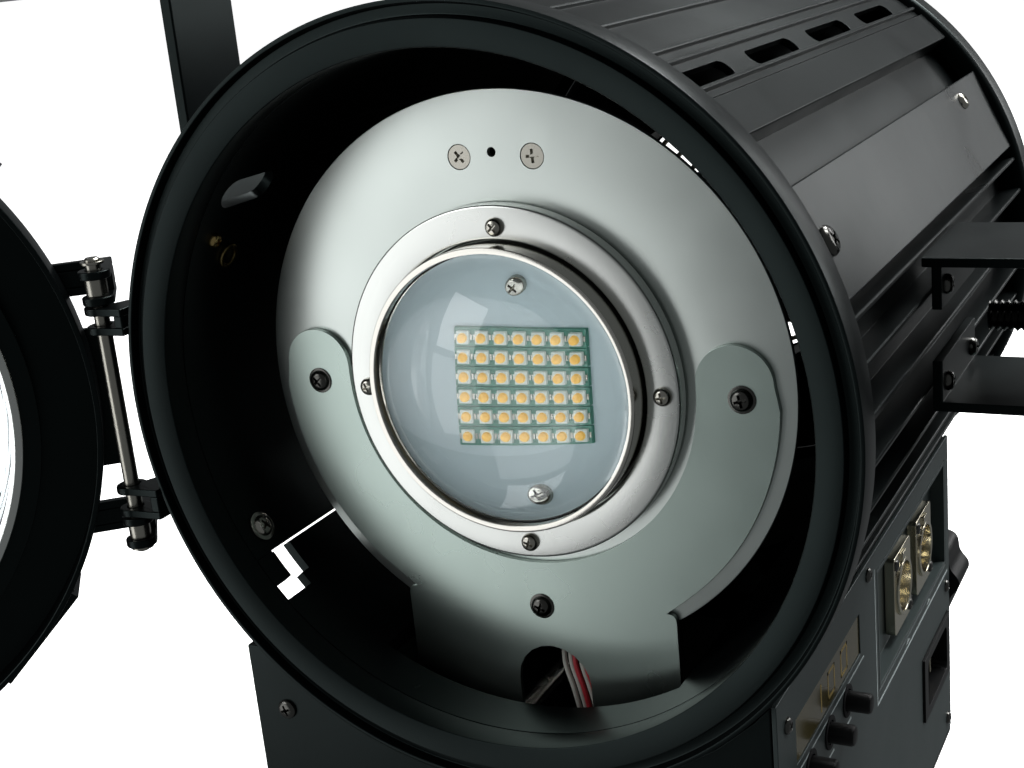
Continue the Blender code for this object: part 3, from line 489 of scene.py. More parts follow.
def dress(node, material, edge=0.4):
    """Keep a CAD node as it is, with its finish and softly rounded edges."""
    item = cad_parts[node]
    item.data.materials.clear()
    item.data.materials.append(MATERIALS[material])
    weld = item.modifiers.new("weld", "WELD")
    weld.merge_threshold = 0.00002
    round_edges(item, edge)


def screws(name, material, body, places):
    """Several cross-head screws as one piece: (point, direction, radius, height, spin)."""
    heads = [aimed(cross_head(radius, height), point, direction, spin)
             for point, direction, radius, height, spin in places]
    return piece(name, merge(heads), material, body)


# ---------------------------------------------------------------- drum and rings

THIN = 1.6
SIDE_RIBS = [(angle, THIN) for angle in (-26, -19, -12.5, -5.5, 1.5, 8.5, 14.6)]
SIDE_RIBS += [(25.2, 33.6), (44.9, 13.6)]
SIDE_CELLS = [(18.4, 32), (42.8, 47.2)]
TOP_RIBS = [(angle, THIN) for angle in
            (50, 55.7, 58.1, 66, 74, 82, 90, 98, 106, 114, 121.9, 124.3, 130)]
TOP_CELLS = [(50, 57), (58.2, 70), (71.2, 89.4), (90.6, 108.8), (110, 121.8), (123, 130)]
RIB_BASE, RIB_TIP, WALL = 110, 118.3, 106.5
TOP_BASE, TOP_TIP = 117.2, 118.6
RING, RING_DEPTH = 120, 11
GAP = 0.3
DRUM_END = 261.7
VENT_ANGLES = (52.2, 127.8)
VENTS = [28.5 + 62 * i for i in range(4)]
VENT_LENGTH, VENT_WIDTH = 43, 6.4
OUTER_WALL_ONLY = 111


def build_front_ring():
    profile = [(WALL, 1.8), (114.4, 0.4), (115, 3.2), (118.1, 3.2), (118.6, 0), (RING, 0),
               (RING, RING_DEPTH), (WALL, RING_DEPTH)]
    piece("front_ring_turned", lathe(soften(profile, 0.35), steps=224), "black_paint", "housing",
          node="front_ring")


def rib_outline(start_deg, end_deg, ribs, base, tip):
    """Cross-section of one drum shell, its rib tips rounded; a wide rib is a flat panel."""
    outer = []
    at = start_deg
    for angle, width in sorted(ribs):
        half = math.degrees(width / 2 / tip)
        flare = math.degrees(0.16 / tip)
        outer += arc(0, 0, base, at, angle - half - flare, max(1, int((angle - half - at) / 2)))
        inset = math.degrees(0.35 / tip)
        outer += [polar(tip - 0.4, angle - half), polar(tip, angle - half + inset),
                  polar(tip, angle + half - inset), polar(tip - 0.4, angle + half)]
        at = angle + half + flare
    outer += arc(0, 0, base, at, end_deg, max(1, int((end_deg - at) / 2)))
    inner = arc(0, 0, WALL, end_deg, start_deg, max(8, int((end_deg - start_deg) / 2)))
    return outer + inner


def hollow_cell(start_deg, end_deg):
    """One hollow chamber of the drum's extrusion."""
    steps = max(3, int((end_deg - start_deg) / 2))
    outer = arc(0, 0, TOP_BASE - 2.4, start_deg, end_deg, steps)
    return outer + arc(0, 0, WALL + 2, end_deg, start_deg, steps)


def radial_slot(angle_deg, depth, length, width, from_radius=100):
    """A cutter for a slot that runs along the drum."""
    shape = plate("X", slot_outline(depth, 0, length, width), from_radius, 125)
    return about_axis(shape, angle_deg)


def mirrored(ribs):
    return [(180 - angle, width) for angle, width in ribs]


def arc_block(start_deg, end_deg, low, high):
    """A block through the drum's wall between two angles and two depths."""
    outline = arc(0, 0, 125, start_deg, end_deg, 4) + arc(0, 0, 100, end_deg, start_deg, 4)
    return plate("Y", outline, low, high)


def shell(node, start_deg, end_deg, ribs, cuts=(), cells=(), base=RIB_BASE, tip=RIB_TIP):
    """One of the drum's four extruded shells."""
    outline = rib_outline(start_deg, end_deg, ribs, base, tip)
    holes = [hollow_cell(low, high) for low, high in cells]
    shape = plate("Y", outline, RING_DEPTH + GAP, DRUM_END, holes)
    item = piece(node + "_extrusion", shape, "black_paint", "housing", node=node, edge=0.25)
    for cutter in cuts:
        carve(item, cutter)


def build_drum():
    vents = [radial_slot(angle, depth, VENT_LENGTH, VENT_WIDTH, OUTER_WALL_ONLY)
             for angle in VENT_ANGLES for depth in VENTS]
    shell("drum_top", 48.46, 131.54, TOP_RIBS, [merge(vents)], TOP_CELLS, TOP_BASE, TOP_TIP)
    shell("drum_right", -33.2, 48.44, SIDE_RIBS, (), SIDE_CELLS)
    left_cells = [(180 - high, 180 - low) for low, high in SIDE_CELLS]
    shell("drum_left", 131.56, 213.2, mirrored(SIDE_RIBS), [radial_slot(143.5, 31, 26, 11)], left_cells)
    passage = block((-53, 28, -125), (53, 150, -80))
    notch = [arc_block(-150, -140.3, 20.3, 29.4), arc_block(-141, -137.7, 11.7, 25.2)]
    lower_ribs = [(angle, THIN) for angle in range(-130, -39, 10)]
    shell("drum_bottom", -146.45, -33.25, lower_ribs, [passage, *notch])
    seam = arc(0, 0, 109.6, -147.4, -146, 3) + arc(0, 0, 107.2, -146, -147.4, 3)
    piece("drum_seam_strip", plate("Y", seam, RING_DEPTH + 0.4, 20.3), "black_paint", "housing")


def outward(angle_deg, radius, depth):
    """A point on the drum and the direction straight out from it."""
    x, height = polar(radius, angle_deg)
    ux, uz = polar(1, angle_deg)
    return (x, depth, height), (ux, 0, uz)


def build_drum_screws():
    dark, pale = [], []
    for side in (0, 1):
        for angle, depth, target, radius in ((24.9, 21.5, dark, 4.4), (29.8, 222, pale, 3.4)):
            point, direction = outward(180 - angle if side else angle, RIB_TIP - 1.5, depth)
            target.append((point, direction, radius, 2.4, 20 + depth))
    screws("drum_screws_dark", "dark_screw", "housing", dark)
    screws("drum_screws_pale", "steel_screw", "housing", pale)


def inward(angle_deg, depth):
    """A point on the drum's inner wall and the direction from it to the axis."""
    point, direction = outward(angle_deg, WALL - 0.1, depth)
    return point, tuple(-c for c in direction)


def build_drum_inside():
    """Fixings seen through the front: a nut, an eyelet and a brass screw on the left wall."""
    spot = inward(-151.5, 21.5)
    nut = [aimed(washer(5.2, 2, 1), *spot), aimed(cross_head(3.8, 2.6), *spot, 30)]
    piece("drum_nut", merge(nut), "steel_screw", "housing")
    piece("drum_brass_screw", aimed(cross_head(2.6, 2), *inward(152.6, 21), 15), "brass", "housing")
    piece("drum_eyelet", aimed(washer(4.4, 2.7, 1), *inward(157, 31)), "brass", "housing")


def build_rear():
    profile = [(104, 270), (112, 263.5), (112, 262), (119.5, 262), (120.7, 263.5), (120.7, 274.5),
               (119.5, 276), (104, 276)]
    piece("rear_ring_turned", lathe(soften(profile, 0.6), steps=160), "black_paint", "housing",
          node="rear_ring")
    holes = [circle(0, 0, 56, 64)]
    for i in range(12):
        middle = 30 * i + 15
        low, high = middle - 9, middle + 9
        holes.append(arc(0, 0, 74, low, high, 5) + arc(0, 0, 80, high, low, 5))
    cover = plate("Y", circle(0, 0, 103.6, 128), 270.3, 272.3, holes)
    piece("rear_cover_plate", cover, "black_paint", "housing", node="rear_cover", edge=0.3)
    light_trap = plate("Y", circle(0, 0, 103, 96), 269.3, 270.1, [circle(0, 0, 62, 64)])
    piece("rear_light_trap", light_trap, "black_plastic", "housing")
    corners = [polar(95, 45 + 90 * i) for i in range(4)]
    heads = [((x, 272.2, z), (0, 1, 0), 3.2, 2, 30 * i) for i, (x, z) in enumerate(corners)]
    screws("rear_cover_screws", "dark_screw", "housing", heads)


def build_fan():
    dress("fan_frame", "black_plastic", 0.6)
    rings = [lathe(circle(radius, 274.3, 1.1, 10), steps=72) for radius in (20, 28.5, 37, 45.5, 54)]
    bar = [(x, 273.2, 0) for x in (-61.5, 0, 61.5)]
    bars = [about_axis(wire(bar, 0.85), angle) for angle in (0, 90)]
    piece("fan_grille_wires", merge(rings + bars), "nickel", "housing", node="fan_grille")
    hub = lathe(soften([(0.01, 247), (20, 247), (21, 248), (21, 263.5), (0.01, 263.5)], 0.8), steps=64)
    blades = [fan_blade(360 / 7 * i) for i in range(7)]
    piece("fan_blades", merge([hub, *blades]), "black_plastic", "fan_rotor", node="fan_rotor")


def fan_blade(angle_deg):
    """One curved blade that widens towards its tip."""
    shape = bmesh.new()
    rows = []
    for k in range(9):
        radius = 18 + 36 * k / 8
        row = []
        for j in range(7):
            t = j / 6
            swing = (t - 0.5) * (26 - 6 * k / 8) + 4 * math.sin(math.pi * t)
            x, z = polar(radius, swing + 8 * k / 8)
            row.append((x, 248.2 + 14 * t, z))
        rows.append(row)
    front = [[shape.verts.new(place(x, d, z)) for x, d, z in row] for row in rows]
    back = [[shape.verts.new(place(x, d + 1.4, z - 0.6)) for x, d, z in row] for row in rows]
    for k in range(8):
        for j in range(6):
            shape.faces.new([front[k][j], front[k][j + 1], front[k + 1][j + 1], front[k + 1][j]])
            shape.faces.new([back[k][j], back[k + 1][j], back[k + 1][j + 1], back[k][j + 1]])
        shape.faces.new([front[k][0], front[k + 1][0], back[k + 1][0], back[k][0]])
        shape.faces.new([front[k][6], back[k][6], back[k + 1][6], front[k + 1][6]])
    for j in range(6):
        shape.faces.new([front[0][j], back[0][j], back[0][j + 1], front[0][j + 1]])
        shape.faces.new([front[8][j], front[8][j + 1], back[8][j + 1], back[8][j]])
    return about_axis(shape, angle_deg)


# ---------------------------------------------------------------- control box

BUTTON_DEPTHS = (75, 54, 33, 12)
BUTTON_HEIGHT = -115.5
SOCKET_DEPTHS = {"data_input": 161, "data_output": 197}
SOCKET_HEIGHT = -113
PRINT_FACE, PRINT_TOP = 91.9, 92.06
FRAME_LINES = ((114, -138.5, 233, -137.6), (113.4, -138.5, 114.2, -86), (16, -110.6, 97, -110))


def build_box():
    dress("control_box", "black_paint", 0.5)
    dress("base_plate", "black_paint", 0.5)
    dress("power_supply", "machined_aluminium", 0.6)
    dress("driver_board", "driver_board", 0.2)
    heads = [((x, 2.9, height), (0, -1, 0), 3.4, 1.6, spin) for height, spin in ((-108, 20), (-196, 40))
             for x in (-79, 79)]
    heads += [((x, 237.1, height), (0, 1, 0), 3.4, 1.6, 10) for x in (-79, 60) for height in (-118, -196)]
    screws("box_screws", "dark_screw", "housing", heads)


def build_panel():
    dress("control_panel", "panel_paint", 0.3)
    dress("connector_tray", "panel_paint", 0.4)
    dress("display_window", "display", 0.3)
    for i, depth in enumerate(BUTTON_DEPTHS):
        profile = [(0.01, 89.5), (3.4, 89.5), (3.4, 99.3), (2.9, 100.1), (2.2, 100.3), (0.01, 100.3)]
        cap = lathe(profile, "X", (0, depth, BUTTON_HEIGHT), 32)
        name = "button_%d" % (i + 1)
        piece(name + "_cap", cap, "black_plastic", name, node=name)
        collar = lathe(soften(rectangle(3.9, 91.8, 5.6, 92.5), 0.2), "X",
                       (0, depth, BUTTON_HEIGHT), 32)
        piece(name + "_collar", collar, "rubber", "housing")
    build_marks()
    build_digits()
    for name, depth in SOCKET_DEPTHS.items():
        build_socket(name, depth)
    build_inlet()
    heads = [((92, depth, height), (1, 0, 0), 2.6, 1.3, 25) for depth, height in
             ((10, -206), (230, -206), (12, -90), (105, -84), (230, -144))]
    screws("panel_screws", "dark_screw", "housing", heads)


def build_marks():
    """Printed frames and ticks on the panel, in place of lettering."""
    outlines = [rectangle(*corners) for corners in FRAME_LINES]
    for depth in BUTTON_DEPTHS:
        outlines.append(rectangle(depth - 4, -124.2, depth + 4, -123.4))
        outlines.append([(depth - 1.6, -127), (depth + 1.6, -127), (depth, -125)])
    for depth in SOCKET_DEPTHS.values():
        outlines.append([(depth - 3, -136.4), (depth + 3, -136.4), (depth, -134.9)])
    marks = [plate("X", outline, PRINT_FACE, PRINT_TOP) for outline in outlines]
    piece("panel_marks", merge(marks), "print", "housing")


SEGMENTS = {"0": "abcdef", "1": "bc"}


def build_digits():
    """Three seven-segment digits behind the display window."""
    bars = []
    for i, digit in enumerate("100"):
        left, low = 40 + 15 * i, -105
        right, middle, top = left + 8, low + 4.75, low + 9.5
        spots = {"a": (left, top - 1, right, top),
                 "b": (right - 1, middle, right, top),
                 "c": (right - 1, low, right, middle),
                 "d": (left, low, right, low + 1),
                 "e": (left, low, left + 1, middle),
                 "f": (left, middle, left + 1, top)}
        bars += [plate("X", rectangle(*spots[key]), 91.5, 91.66) for key in SEGMENTS[digit]]
    piece("display_digits", merge(bars), "amber", "housing")


def build_socket(name, depth):
    """A square-flanged panel socket with a latch and three pins."""
    low, high = 86.8, 90.5
    half_width, half_height = 13, 15.5
    outline = soften(rectangle(depth - half_width, SOCKET_HEIGHT - half_height,
                               depth + half_width, SOCKET_HEIGHT + half_height), 2.2, 4)
    flange = plate("X", outline, low, high, [circle(depth, SOCKET_HEIGHT, 11.2, 48)])
    piece(name + "_flange", flange, "nickel", "housing", node=name, edge=0.5)
    centre = (0, depth, SOCKET_HEIGHT)
    shell_ring = lathe(soften(rectangle(9.4, 71, 11.1, 91.6), 0.5), "X", centre, 64)
    piece(name + "_shell", shell_ring, "nickel", "housing")
    insert = lathe(rectangle(0.01, 71, 9.3, 77), "X", centre, 48)
    piece(name + "_insert", insert, "black_plastic", "housing")
    pins = []
    for angle in (90, 210, 330):
        u, v = polar(4.6, angle)
        pins.append(rod("X", (0, depth + u, SOCKET_HEIGHT + v), 1.1, 76.5, 86, 16, 0.5))
    piece(name + "_pins", merge(pins), "nickel", "housing")
    latch = soften(rectangle(depth - 3, SOCKET_HEIGHT + 9.6, depth + 3, SOCKET_HEIGHT + 14.2), 1)
    piece(name + "_latch", plate("X", latch, high - 0.2, high + 1), "nickel", "housing", edge=0.3)
    corners = [(depth - 10, SOCKET_HEIGHT + 12.3), (depth + 10, SOCKET_HEIGHT - 12.3)]
    screws(name + "_screws", "dark_screw", "housing",
           [((high - 0.1, u, v), (1, 0, 0), 2.3, 1.1, 30) for u, v in corners])


def build_inlet():
    dress("power_inlet", "black_plastic", 0.5)
    blades = []
    for u, v in ((208, -166), (201, -174), (215, -174)):
        blades.append(block((74, u - 1, v - 3), (88.5, u + 1, v + 3)))
    piece("inlet_blades", merge(blades), "nickel", "housing", edge=0.3)


# ---------------------------------------------------------------- focusing carriage

PLATE_FRONT, PLATE_BACK = 38, 39.7
CHIP_COLUMNS, CHIP_ROWS, CHIP_PITCH = 7, 6, 5.0
ARRAY_CENTRE = (1.0, -2.0)
LED_PLANE = 42.6


def face_plate_outline():
    lobe_x, lobe_height, lobe_radius = 72.5, 3, 12
    outer = 86
    right = arc(lobe_x, lobe_height, lobe_radius, 180, 0, 24) + arc(0, 0, outer, -3, -50, 28)
    left = arc(0, 0, outer, -130, -177, 28) + arc(-lobe_x, lobe_height, lobe_radius, 180, 0, 24)
    arm = soften([(49.5, -73), (49.5, -136), (84, -136), (84, -158), (-47.5, -158), (-47.5, -74)], 3, 4)
    inner = arc(0, 0, 60.5, 180, 360, 64)
    return right + arm + left + inner


def upright_slot(u, v, width, length):
    return [(u + across, v + along) for along, across in slot_outline(0, 0, length, width)]


def build_disc():
    profile = soften(rectangle(46, 40, 90.7, 42), 0.35, 3)
    disc = lathe(profile, steps=192)
    item = piece("carriage_disc_turned", disc, "brushed_disc", "carriage", node="carriage_disc")
    holes = [rod("Y", (-0.5, 0, 71.9), 1.5, 38, 45, 24), rod("Y", (-11.7, 0, 70.6), 4.0, 38, 41.2, 32),
             rod("Y", (13, 0, 70.4), 4.0, 38, 41.2, 32)]
    carve(item, merge(holes))
    heads = [aimed(cross_head(3.8, 1.0, True), (x, 41.1, z), (0, -1, 0), spin)
             for x, z, spin in ((-11.7, 70.6, 40), (13, 70.4, 3))]
    piece("disc_screws", merge(heads), "polished_steel", "carriage")


def build_face_plate():
    holes = [circle(x, -147, 4.1) for x in (-36, 42)] + [circle(76, -147, 5), upright_slot(5, -112, 26, 44)]
    stamped = plate("Y", face_plate_outline(), PLATE_FRONT, PLATE_BACK, holes)
    piece("face_plate_stamped", stamped, "zinc_plate", "carriage", node="face_plate", edge=0.45)
    spots = ((-72.5, -2.6, 40), (74.6, -1.3, 15), (2.8, -75.8, 70))
    places = [((x, PLATE_FRONT, z), (0, -1, 0), 3.5, 2.2, spin) for x, z, spin in spots]
    screws("plate_screws", "dark_screw", "carriage", places)
    washers = [aimed(washer(4.3, 2, 0.35), (x, PLATE_FRONT, z), (0, -1, 0)) for x, z, _ in spots]
    piece("plate_washers", merge(washers), "dark_screw", "carriage")


def build_lens():
    clamp = soften(rectangle(46.4, 34, 57, 39.7), 0.9, 4)
    piece("lens_clamp_turned", lathe(clamp, steps=160), "machined_aluminium", "carriage", node="lens_clamp")
    places = []
    for angle, radius, spin in ((88.4, 50.4, 40), (-0.3, 51.8, 10), (-86.6, 51.6, 70), (-177.4, 50.6, 25)):
        x, height = polar(radius, angle)
        places.append(((x, 34.1, height), (0, -1, 0), 2.9, 2.3, spin))
    screws("clamp_screws", "steel_screw", "carriage", places)
    barrel = [(43.5, 27), (45.6, 27), (45.6, 42.4), (56, 42.4), (56, 45), (45.6, 45), (45.6, 58), (43.8, 58),
              (41.5, 57), (41.5, 33.6), (43.5, 33.6)]
    piece("lens_barrel_turned", lathe(soften(barrel, 0.4), steps=160), "barrel_steel", "carriage",
          node="lens_barrel")
    piece("condenser_lens_polished", condenser(), "lens_glass", "carriage", node="condenser_lens",
          sharp_deg=20)
    build_led_board()


def condenser():
    """A plano-convex lens with a softly ground edge."""
    radius, sphere, edge, back = 43.1, 60, 30.3, 33.3
    centre = edge + math.sqrt(sphere ** 2 - radius ** 2)
    limit = math.asin(radius / sphere)
    turns = [limit * i / 40 for i in range(41)]
    cap = [(sphere * math.sin(turn), centre - sphere * math.cos(turn)) for turn in turns]
    return lathe(cap + [(radius, back - 0.4), (radius - 0.4, back), (0, back)], steps=160)


def build_led_board():
    # The board, array strips, chip cases and domes take finishes with a painted glow, in place of light
    # through the condenser lens.
    profile = [(0.01, LED_PLANE), (41, LED_PLANE), (41, 58.3), (52, 58.3), (52, 60.3), (0.01, 60.3)]
    piece("led_board_plate", lathe(soften(profile, 0.3), steps=128), "white_board", "carriage",
          node="led_board")
    width, height = CHIP_COLUMNS * CHIP_PITCH, CHIP_ROWS * CHIP_PITCH
    x0, z0 = ARRAY_CENTRE[0] - width / 2, ARRAY_CENTRE[1] - height / 2
    strips, cases, domes, pads = [], [], [], []
    front = LED_PLANE - 0.75
    dome = [(0, front - 1.6), (0.6, front - 1.5), (1.1, front - 1.15), (1.3, front - 0.55),
            (0, front - 0.55)]
    for row in range(CHIP_ROWS):
        low = z0 + row * CHIP_PITCH
        strips.append(block((x0, front, low + 0.12), (x0 + width, LED_PLANE + 0.05, low + CHIP_PITCH - 0.12)))
        for column in range(CHIP_COLUMNS):
            x, z = x0 + (column + 0.5) * CHIP_PITCH, low + CHIP_PITCH / 2
            cases.append(block((x - 1.65, front - 0.6, z - 1.65), (x + 1.65, front + 0.1, z + 1.65)))
            domes.append(lathe(dome, "Y", (x, 0, z), 16))
            for side in (-1, 1):
                pad = x + side * 2.05
                pads.append(block((pad - 0.3, front - 0.15, z - 0.7), (pad + 0.3, front + 0.05, z + 0.7)))
    piece("led_array_board", merge(strips), "circuit_board", "carriage", edge=0.15)
    piece("led_chip_cases", merge(cases), "chip_case", "carriage", edge=0.15)
    piece("led_chip_domes", merge(domes), "phosphor", "carriage")
    piece("led_solder_pads", merge(pads), "polished_steel", "carriage")
    places = [((3, LED_PLANE, -30.6), (0, -1, 0), 3.2, 1.8, 20),
              ((0, LED_PLANE, 24), (0, -1, 0), 2.6, 1.6, 50)]
    screws("board_screws", "steel_screw", "carriage", places)


def build_carriage_back():
    dress("heat_sink", "machined_aluminium", 0.25)
    dress("slide_block", "machined_aluminium", 0.5)
    for node in ("slide_rod_left", "slide_rod_right"):
        dress(node, "polished_steel", 0.3)
    nut = tube("Y", FOCUS_AXIS, 4.4, 9, 40, 54)
    piece("lead_nut_turned", nut, "brass", "carriage", node="lead_nut")


def build_wires():
    """Supply wires that come down behind the arch in the plate."""
    red, pale = [], []
    for i in range(7):
        start_x = 9 + 1.9 * i
        path = [(start_x - 4, 47, -92), (start_x - 3, 44.5, -99), (start_x, 43, -107),
                (start_x + 1.5, 43.5, -116), (start_x + 1, 46, -125)]
        target = red if i in (2, 4, 6) else pale
        target.append(wire([(min(x, 17.2), d + 0.8 * (i % 2), h) for x, d, h in path], 0.85))
    piece("wire_loom_red", merge(red), "wire_cover", "carriage", node="wire_loom")
    piece("wire_loom_pale", merge(pale), "pale_wire", "carriage")


def build_focus():
    piece("focus_screw_threaded", threaded("Y", FOCUS_AXIS, 4, 3, 20, 252), "polished_steel", "focus",
          node="focus_screw")
    grip = plate("Y", lobed(FOCUS_AXIS[0], FOCUS_AXIS[2], 18.6, 1.2, 8), 239, 261)
    piece("focus_knob_grip", grip, "black_plastic", "focus", node="focus_knob", edge=1.2)


# ---------------------------------------------------------------- brackets, yoke and clamp

CROSSBAR_TOP = 219.8
WEB_FACE = 153.4


def build_brackets():
    for node in ("tilt_bracket_left", "tilt_bracket_right"):
        dress(node, "black_paint", 0.5)
    heads = []
    for side in (-1, 1):
        for depth in (93, 131):
            for height in (20.5, -10):
                heads.append(((side * 121.6, depth, height), (side, 0, 0), 3.1, 2.2, 35 + depth))
    screws("bracket_screws", "dark_screw", "housing", heads)


def build_yoke():
    dress("yoke", "black_paint", 0.8)
    face = PIVOT[2] + CROSSBAR_TOP
    profile = [(0.01, face - 12.3), (9, face - 12.3), (9, face - 5.6), (5, face - 5.6), (5, face), (14, face),
               (14, face + 18), (12, face + 20), (12, face + 30), (14, face + 32), (14, face + 54),
               (12.5, face + 56), (0.01, face + 56)]
    piece("spigot_turned", lathe(soften(profile, 0.4), "Z", (0, PIVOT[1], 0), 96), "polished_steel", "yoke",
          node="spigot")
    pads = []
    for side in (-1, 1):
        near, far = side * WEB_FACE, side * (WEB_FACE + 3.3)
        pads.append(lathe(soften(rectangle(5.6, near, 15, far), 0.5), "X", PIVOT, 64))
    piece("pivot_washers", merge(pads), "rubber", "housing")


def build_clamp():
    stud = threaded("X", PIVOT, 5, 2, 131, 178)
    piece("tilt_stud_threaded", stud, "dark_screw", "tilt_clamp", node="tilt_stud")
    lobes = plate("X", lobed(PIVOT[1], PIVOT[2], 21, 3.5, 5), 170, 188)
    neck = lathe(soften(rectangle(5.4, 163, 11, 171), 0.8), "X", PIVOT, 48)
    piece("tilt_knob_grip", merge([lobes, neck]), "black_plastic", "tilt_clamp", node="tilt_knob", edge=1.0)
    profile = [(0.01, -169), (8, -169), (10, -167), (10, -162.3), (5, -162.3), (5, -150)]
    bolt = lathe(soften(profile, 0.4), "X", PIVOT, 64)
    thread = threaded("X", PIVOT, 5, 2, -157, -131)
    piece("pivot_bolt_head", merge([bolt, thread]), "dark_screw", "housing", node="pivot_bolt_left")
    nuts = [aimed(hex_nut(16, 6), (side * 149.8, *PIVOT[1:]), (-side, 0, 0)) for side in (-1, 1)]
    piece("pivot_nuts", merge(nuts), "dark_screw", "housing")


# ---------------------------------------------------------------- door and hinge

EARS = {"accessory_ear_left": 135, "accessory_ear_lower_left": -135, "accessory_ear_lower_right": -45}
LUGS = {"hinge_lug_upper": (22, 31), "hinge_lug_lower": (-41.5, -31)}
ARMS = {"door_arm_upper": (31.6, 43), "door_arm_lower": (-53, -42.1)}


def build_hinge():
    x, depth = HINGE
    pin = rod("Z", (x, depth, 0), 2.5, -55, 47, 32, 0.5)
    clips = [lathe(soften(rectangle(2.6, h, 3.9, h + 0.9), 0.2), "Z", (x, depth, 0), 32)
             for h in (-54, 45)]
    piece("hinge_pin_turned", merge([pin, *clips]), "polished_steel", "housing", node="hinge_pin")
    for node, (low, high) in LUGS.items():
        nearest = min(abs(low), abs(high))
        reach = -math.sqrt(RING ** 2 - nearest ** 2) - GAP
        knuckle = arc(x, depth, 5.2, 60, 300, 24)
        outline = knuckle + [(reach, -1.5), (reach, 14), (-124, 14)]
        hole = circle(x, depth, 2.8)
        eyes = [plate("Z", outline, a, a + 2.6, [hole]) for a in (low, high - 2.6)]
        web = block((reach - 3.4, -1.4, low + 2.5), (reach - 0.1, 13.8, high - 2.5))
        piece(node + "_clevis", merge([*eyes, web]), "black_paint", "housing", node=node, edge=0.5)
    for node, (low, high) in ARMS.items():
        build_door_arm(node, low, high)


def build_door_arm(node, low, high):
    """A bent bracket on the door: two eyes on the hinge pin and a foot on the door's rim."""
    x, depth = HINGE
    front = -15.3
    outline = arc(x, depth, 5.2, -60, 180, 24)
    outline += [(-135.2, front - 3), (-103, front - 3), (-103, front), (-127.4, front)]
    hole = circle(x, depth, 2.8)
    eyes = [plate("Z", outline, a, a + 2.8, [hole]) for a in (low, high - 2.8)]
    foot = block((-135.2, front - 3, low + 2.7), (-103, front, high - 2.7))
    wall = block((-135.2, front - 1, low + 2.7), (-132.6, depth - 6, high - 2.7))
    spacer = lathe(soften(rectangle(2.7, low + 2.9, 3.6, high - 2.9), 0.2),
                   "Z", (x, depth, 0), 32)
    piece(node + "_bracket", opened(merge([*eyes, foot, wall])), "black_paint", "door", node=node, edge=0.5)
    piece(node + "_spacer", opened(spacer), "polished_steel", "door")
    middle = (low + high) / 2
    heads = [opened(aimed(cross_head(2.6, 1.8), (across, front - 3, middle), (0, -1, 0), 20))
             for across in (-121, -110)]
    piece(node + "_screws", merge(heads), "dark_screw", "door")


def build_door():
    front = -15
    profile = [(97, front), (123, front), (124, front + 1), (124, -1.5), (122, -1.5), (122, front + 2),
               (102, front + 2), (102, -6), (100.2, -6), (100.2, front + 2), (97, front + 2)]
    ring = lathe(soften(profile, 0.5), steps=192)
    tab = plate("Y", soften(rectangle(119, -9, 136, 9), 3), front + 0.2, front + 2.4, [circle(129.5, 0, 2.6)])
    piece("door_ring_pressed", opened(merge([ring, about_axis(tab, 90)])), "black_paint", "door",
          node="door_ring")
    piece("fresnel_lens_moulded", opened(fresnel()), "lens_glass", "door", node="fresnel_lens")
    retainer = soften([(95.5, -5.2), (99.8, -5.2), (99.8, -5.6), (104, -5.6), (104, -3.9), (95.5, -3.9)], 0.3)
    piece("lens_retainer_spun", opened(lathe(retainer, steps=160)), "black_paint", "door",
          node="lens_retainer")
    bead = soften(rectangle(95.3, -4.6, 98.2, -3.1), 0.6)
    piece("lens_retainer_bead", opened(lathe(bead, steps=160)), "machined_aluminium", "door")
    leaf = block((-131, front - 3, -29), (-104, front - 0.3, 20))
    piece("door_hinge_leaf", opened(leaf), "black_paint", "door", edge=0.5)
    for node, angle in EARS.items():
        base, lip = front - 0.3, front - 24
        section = [(108, base), (127, base), (127, lip), (112, lip), (112, lip + 2), (125, lip + 2),
                   (125, base - 2), (108, base - 2)]
        ear = about_axis(plate("Z", soften(section, 0.8), -20, 20), angle)
        piece(node + "_pressed", opened(ear), "black_paint", "door", node=node, edge=0.4)
        rivets = [aimed(cross_head(2.6, 1.4), (116, base - 2, side * 12), (0, -1, 0), 30) for side in (-1, 1)]
        piece(node + "_rivets", opened(about_axis(merge(rivets), angle)), "dark_screw", "door")
    build_latch_and_screw(front)


def fresnel():
    """A stepped lens: curved zones that drop back at each riser."""
    front, back, zones = -12.7, -5.9, 22
    focal = 190
    points = []
    for i in range(zones):
        inner, outer = 94 * i / zones, 94 * (i + 1) / zones
        for k in range(4):
            radius = inner + (outer - inner) * k / 3
            points.append((radius, front + 0.2 + (radius ** 2 - inner ** 2) / focal))
        points.append((outer + 0.15, front + 0.2))
    return lathe(points + [(99.4, front + 0.2), (99.4, back), (0, back)], steps=128)


def build_latch_and_screw(front):
    base = front - 0.3
    tab = plate("Y", slot_outline(113, 0, 30, 11), base - 24, base - 22)
    post = rod("Y", (117, 0, 0), 4.5, base - 23, base, 32)
    spring = lathe(soften(rectangle(4.6, base - 3, 6.4, base - 0.2), 0.3), "Y",
                   (117, 0, 0), 32)
    latch = about_axis(merge([tab, post, spring]), 45)
    piece("accessory_latch_tab", opened(latch), "nickel", "accessory_latch",
          node="accessory_latch", edge=0.3)
    outline = [polar(7.6 + 0.4 * (i % 2), 360 / 48 * i) for i in range(48)]
    knurl = plate("Y", [(u + 129.5, v) for u, v in outline], front - 11.5, front - 3)
    ends = lathe(soften(rectangle(0.01, front - 12, 7.2, front - 11), 0.3), "Y",
                 (129.5, 0, 0), 48)
    profile = [(0.01, front - 3.2), (4, front - 3.2), (4, front - 0.5), (2.2, front - 0.5),
               (2.2, 9), (0.01, 9)]
    neck = lathe(profile, "Y", (129.5, 0, 0), 32)
    screw = about_axis(merge([knurl, ends, neck]), 90)
    piece("door_screw_knurled", opened(screw), "nickel", "door_screw", node="door_screw")
    dress("door_catch", "black_paint", 0.5)


# ---------------------------------------------------------------- studio

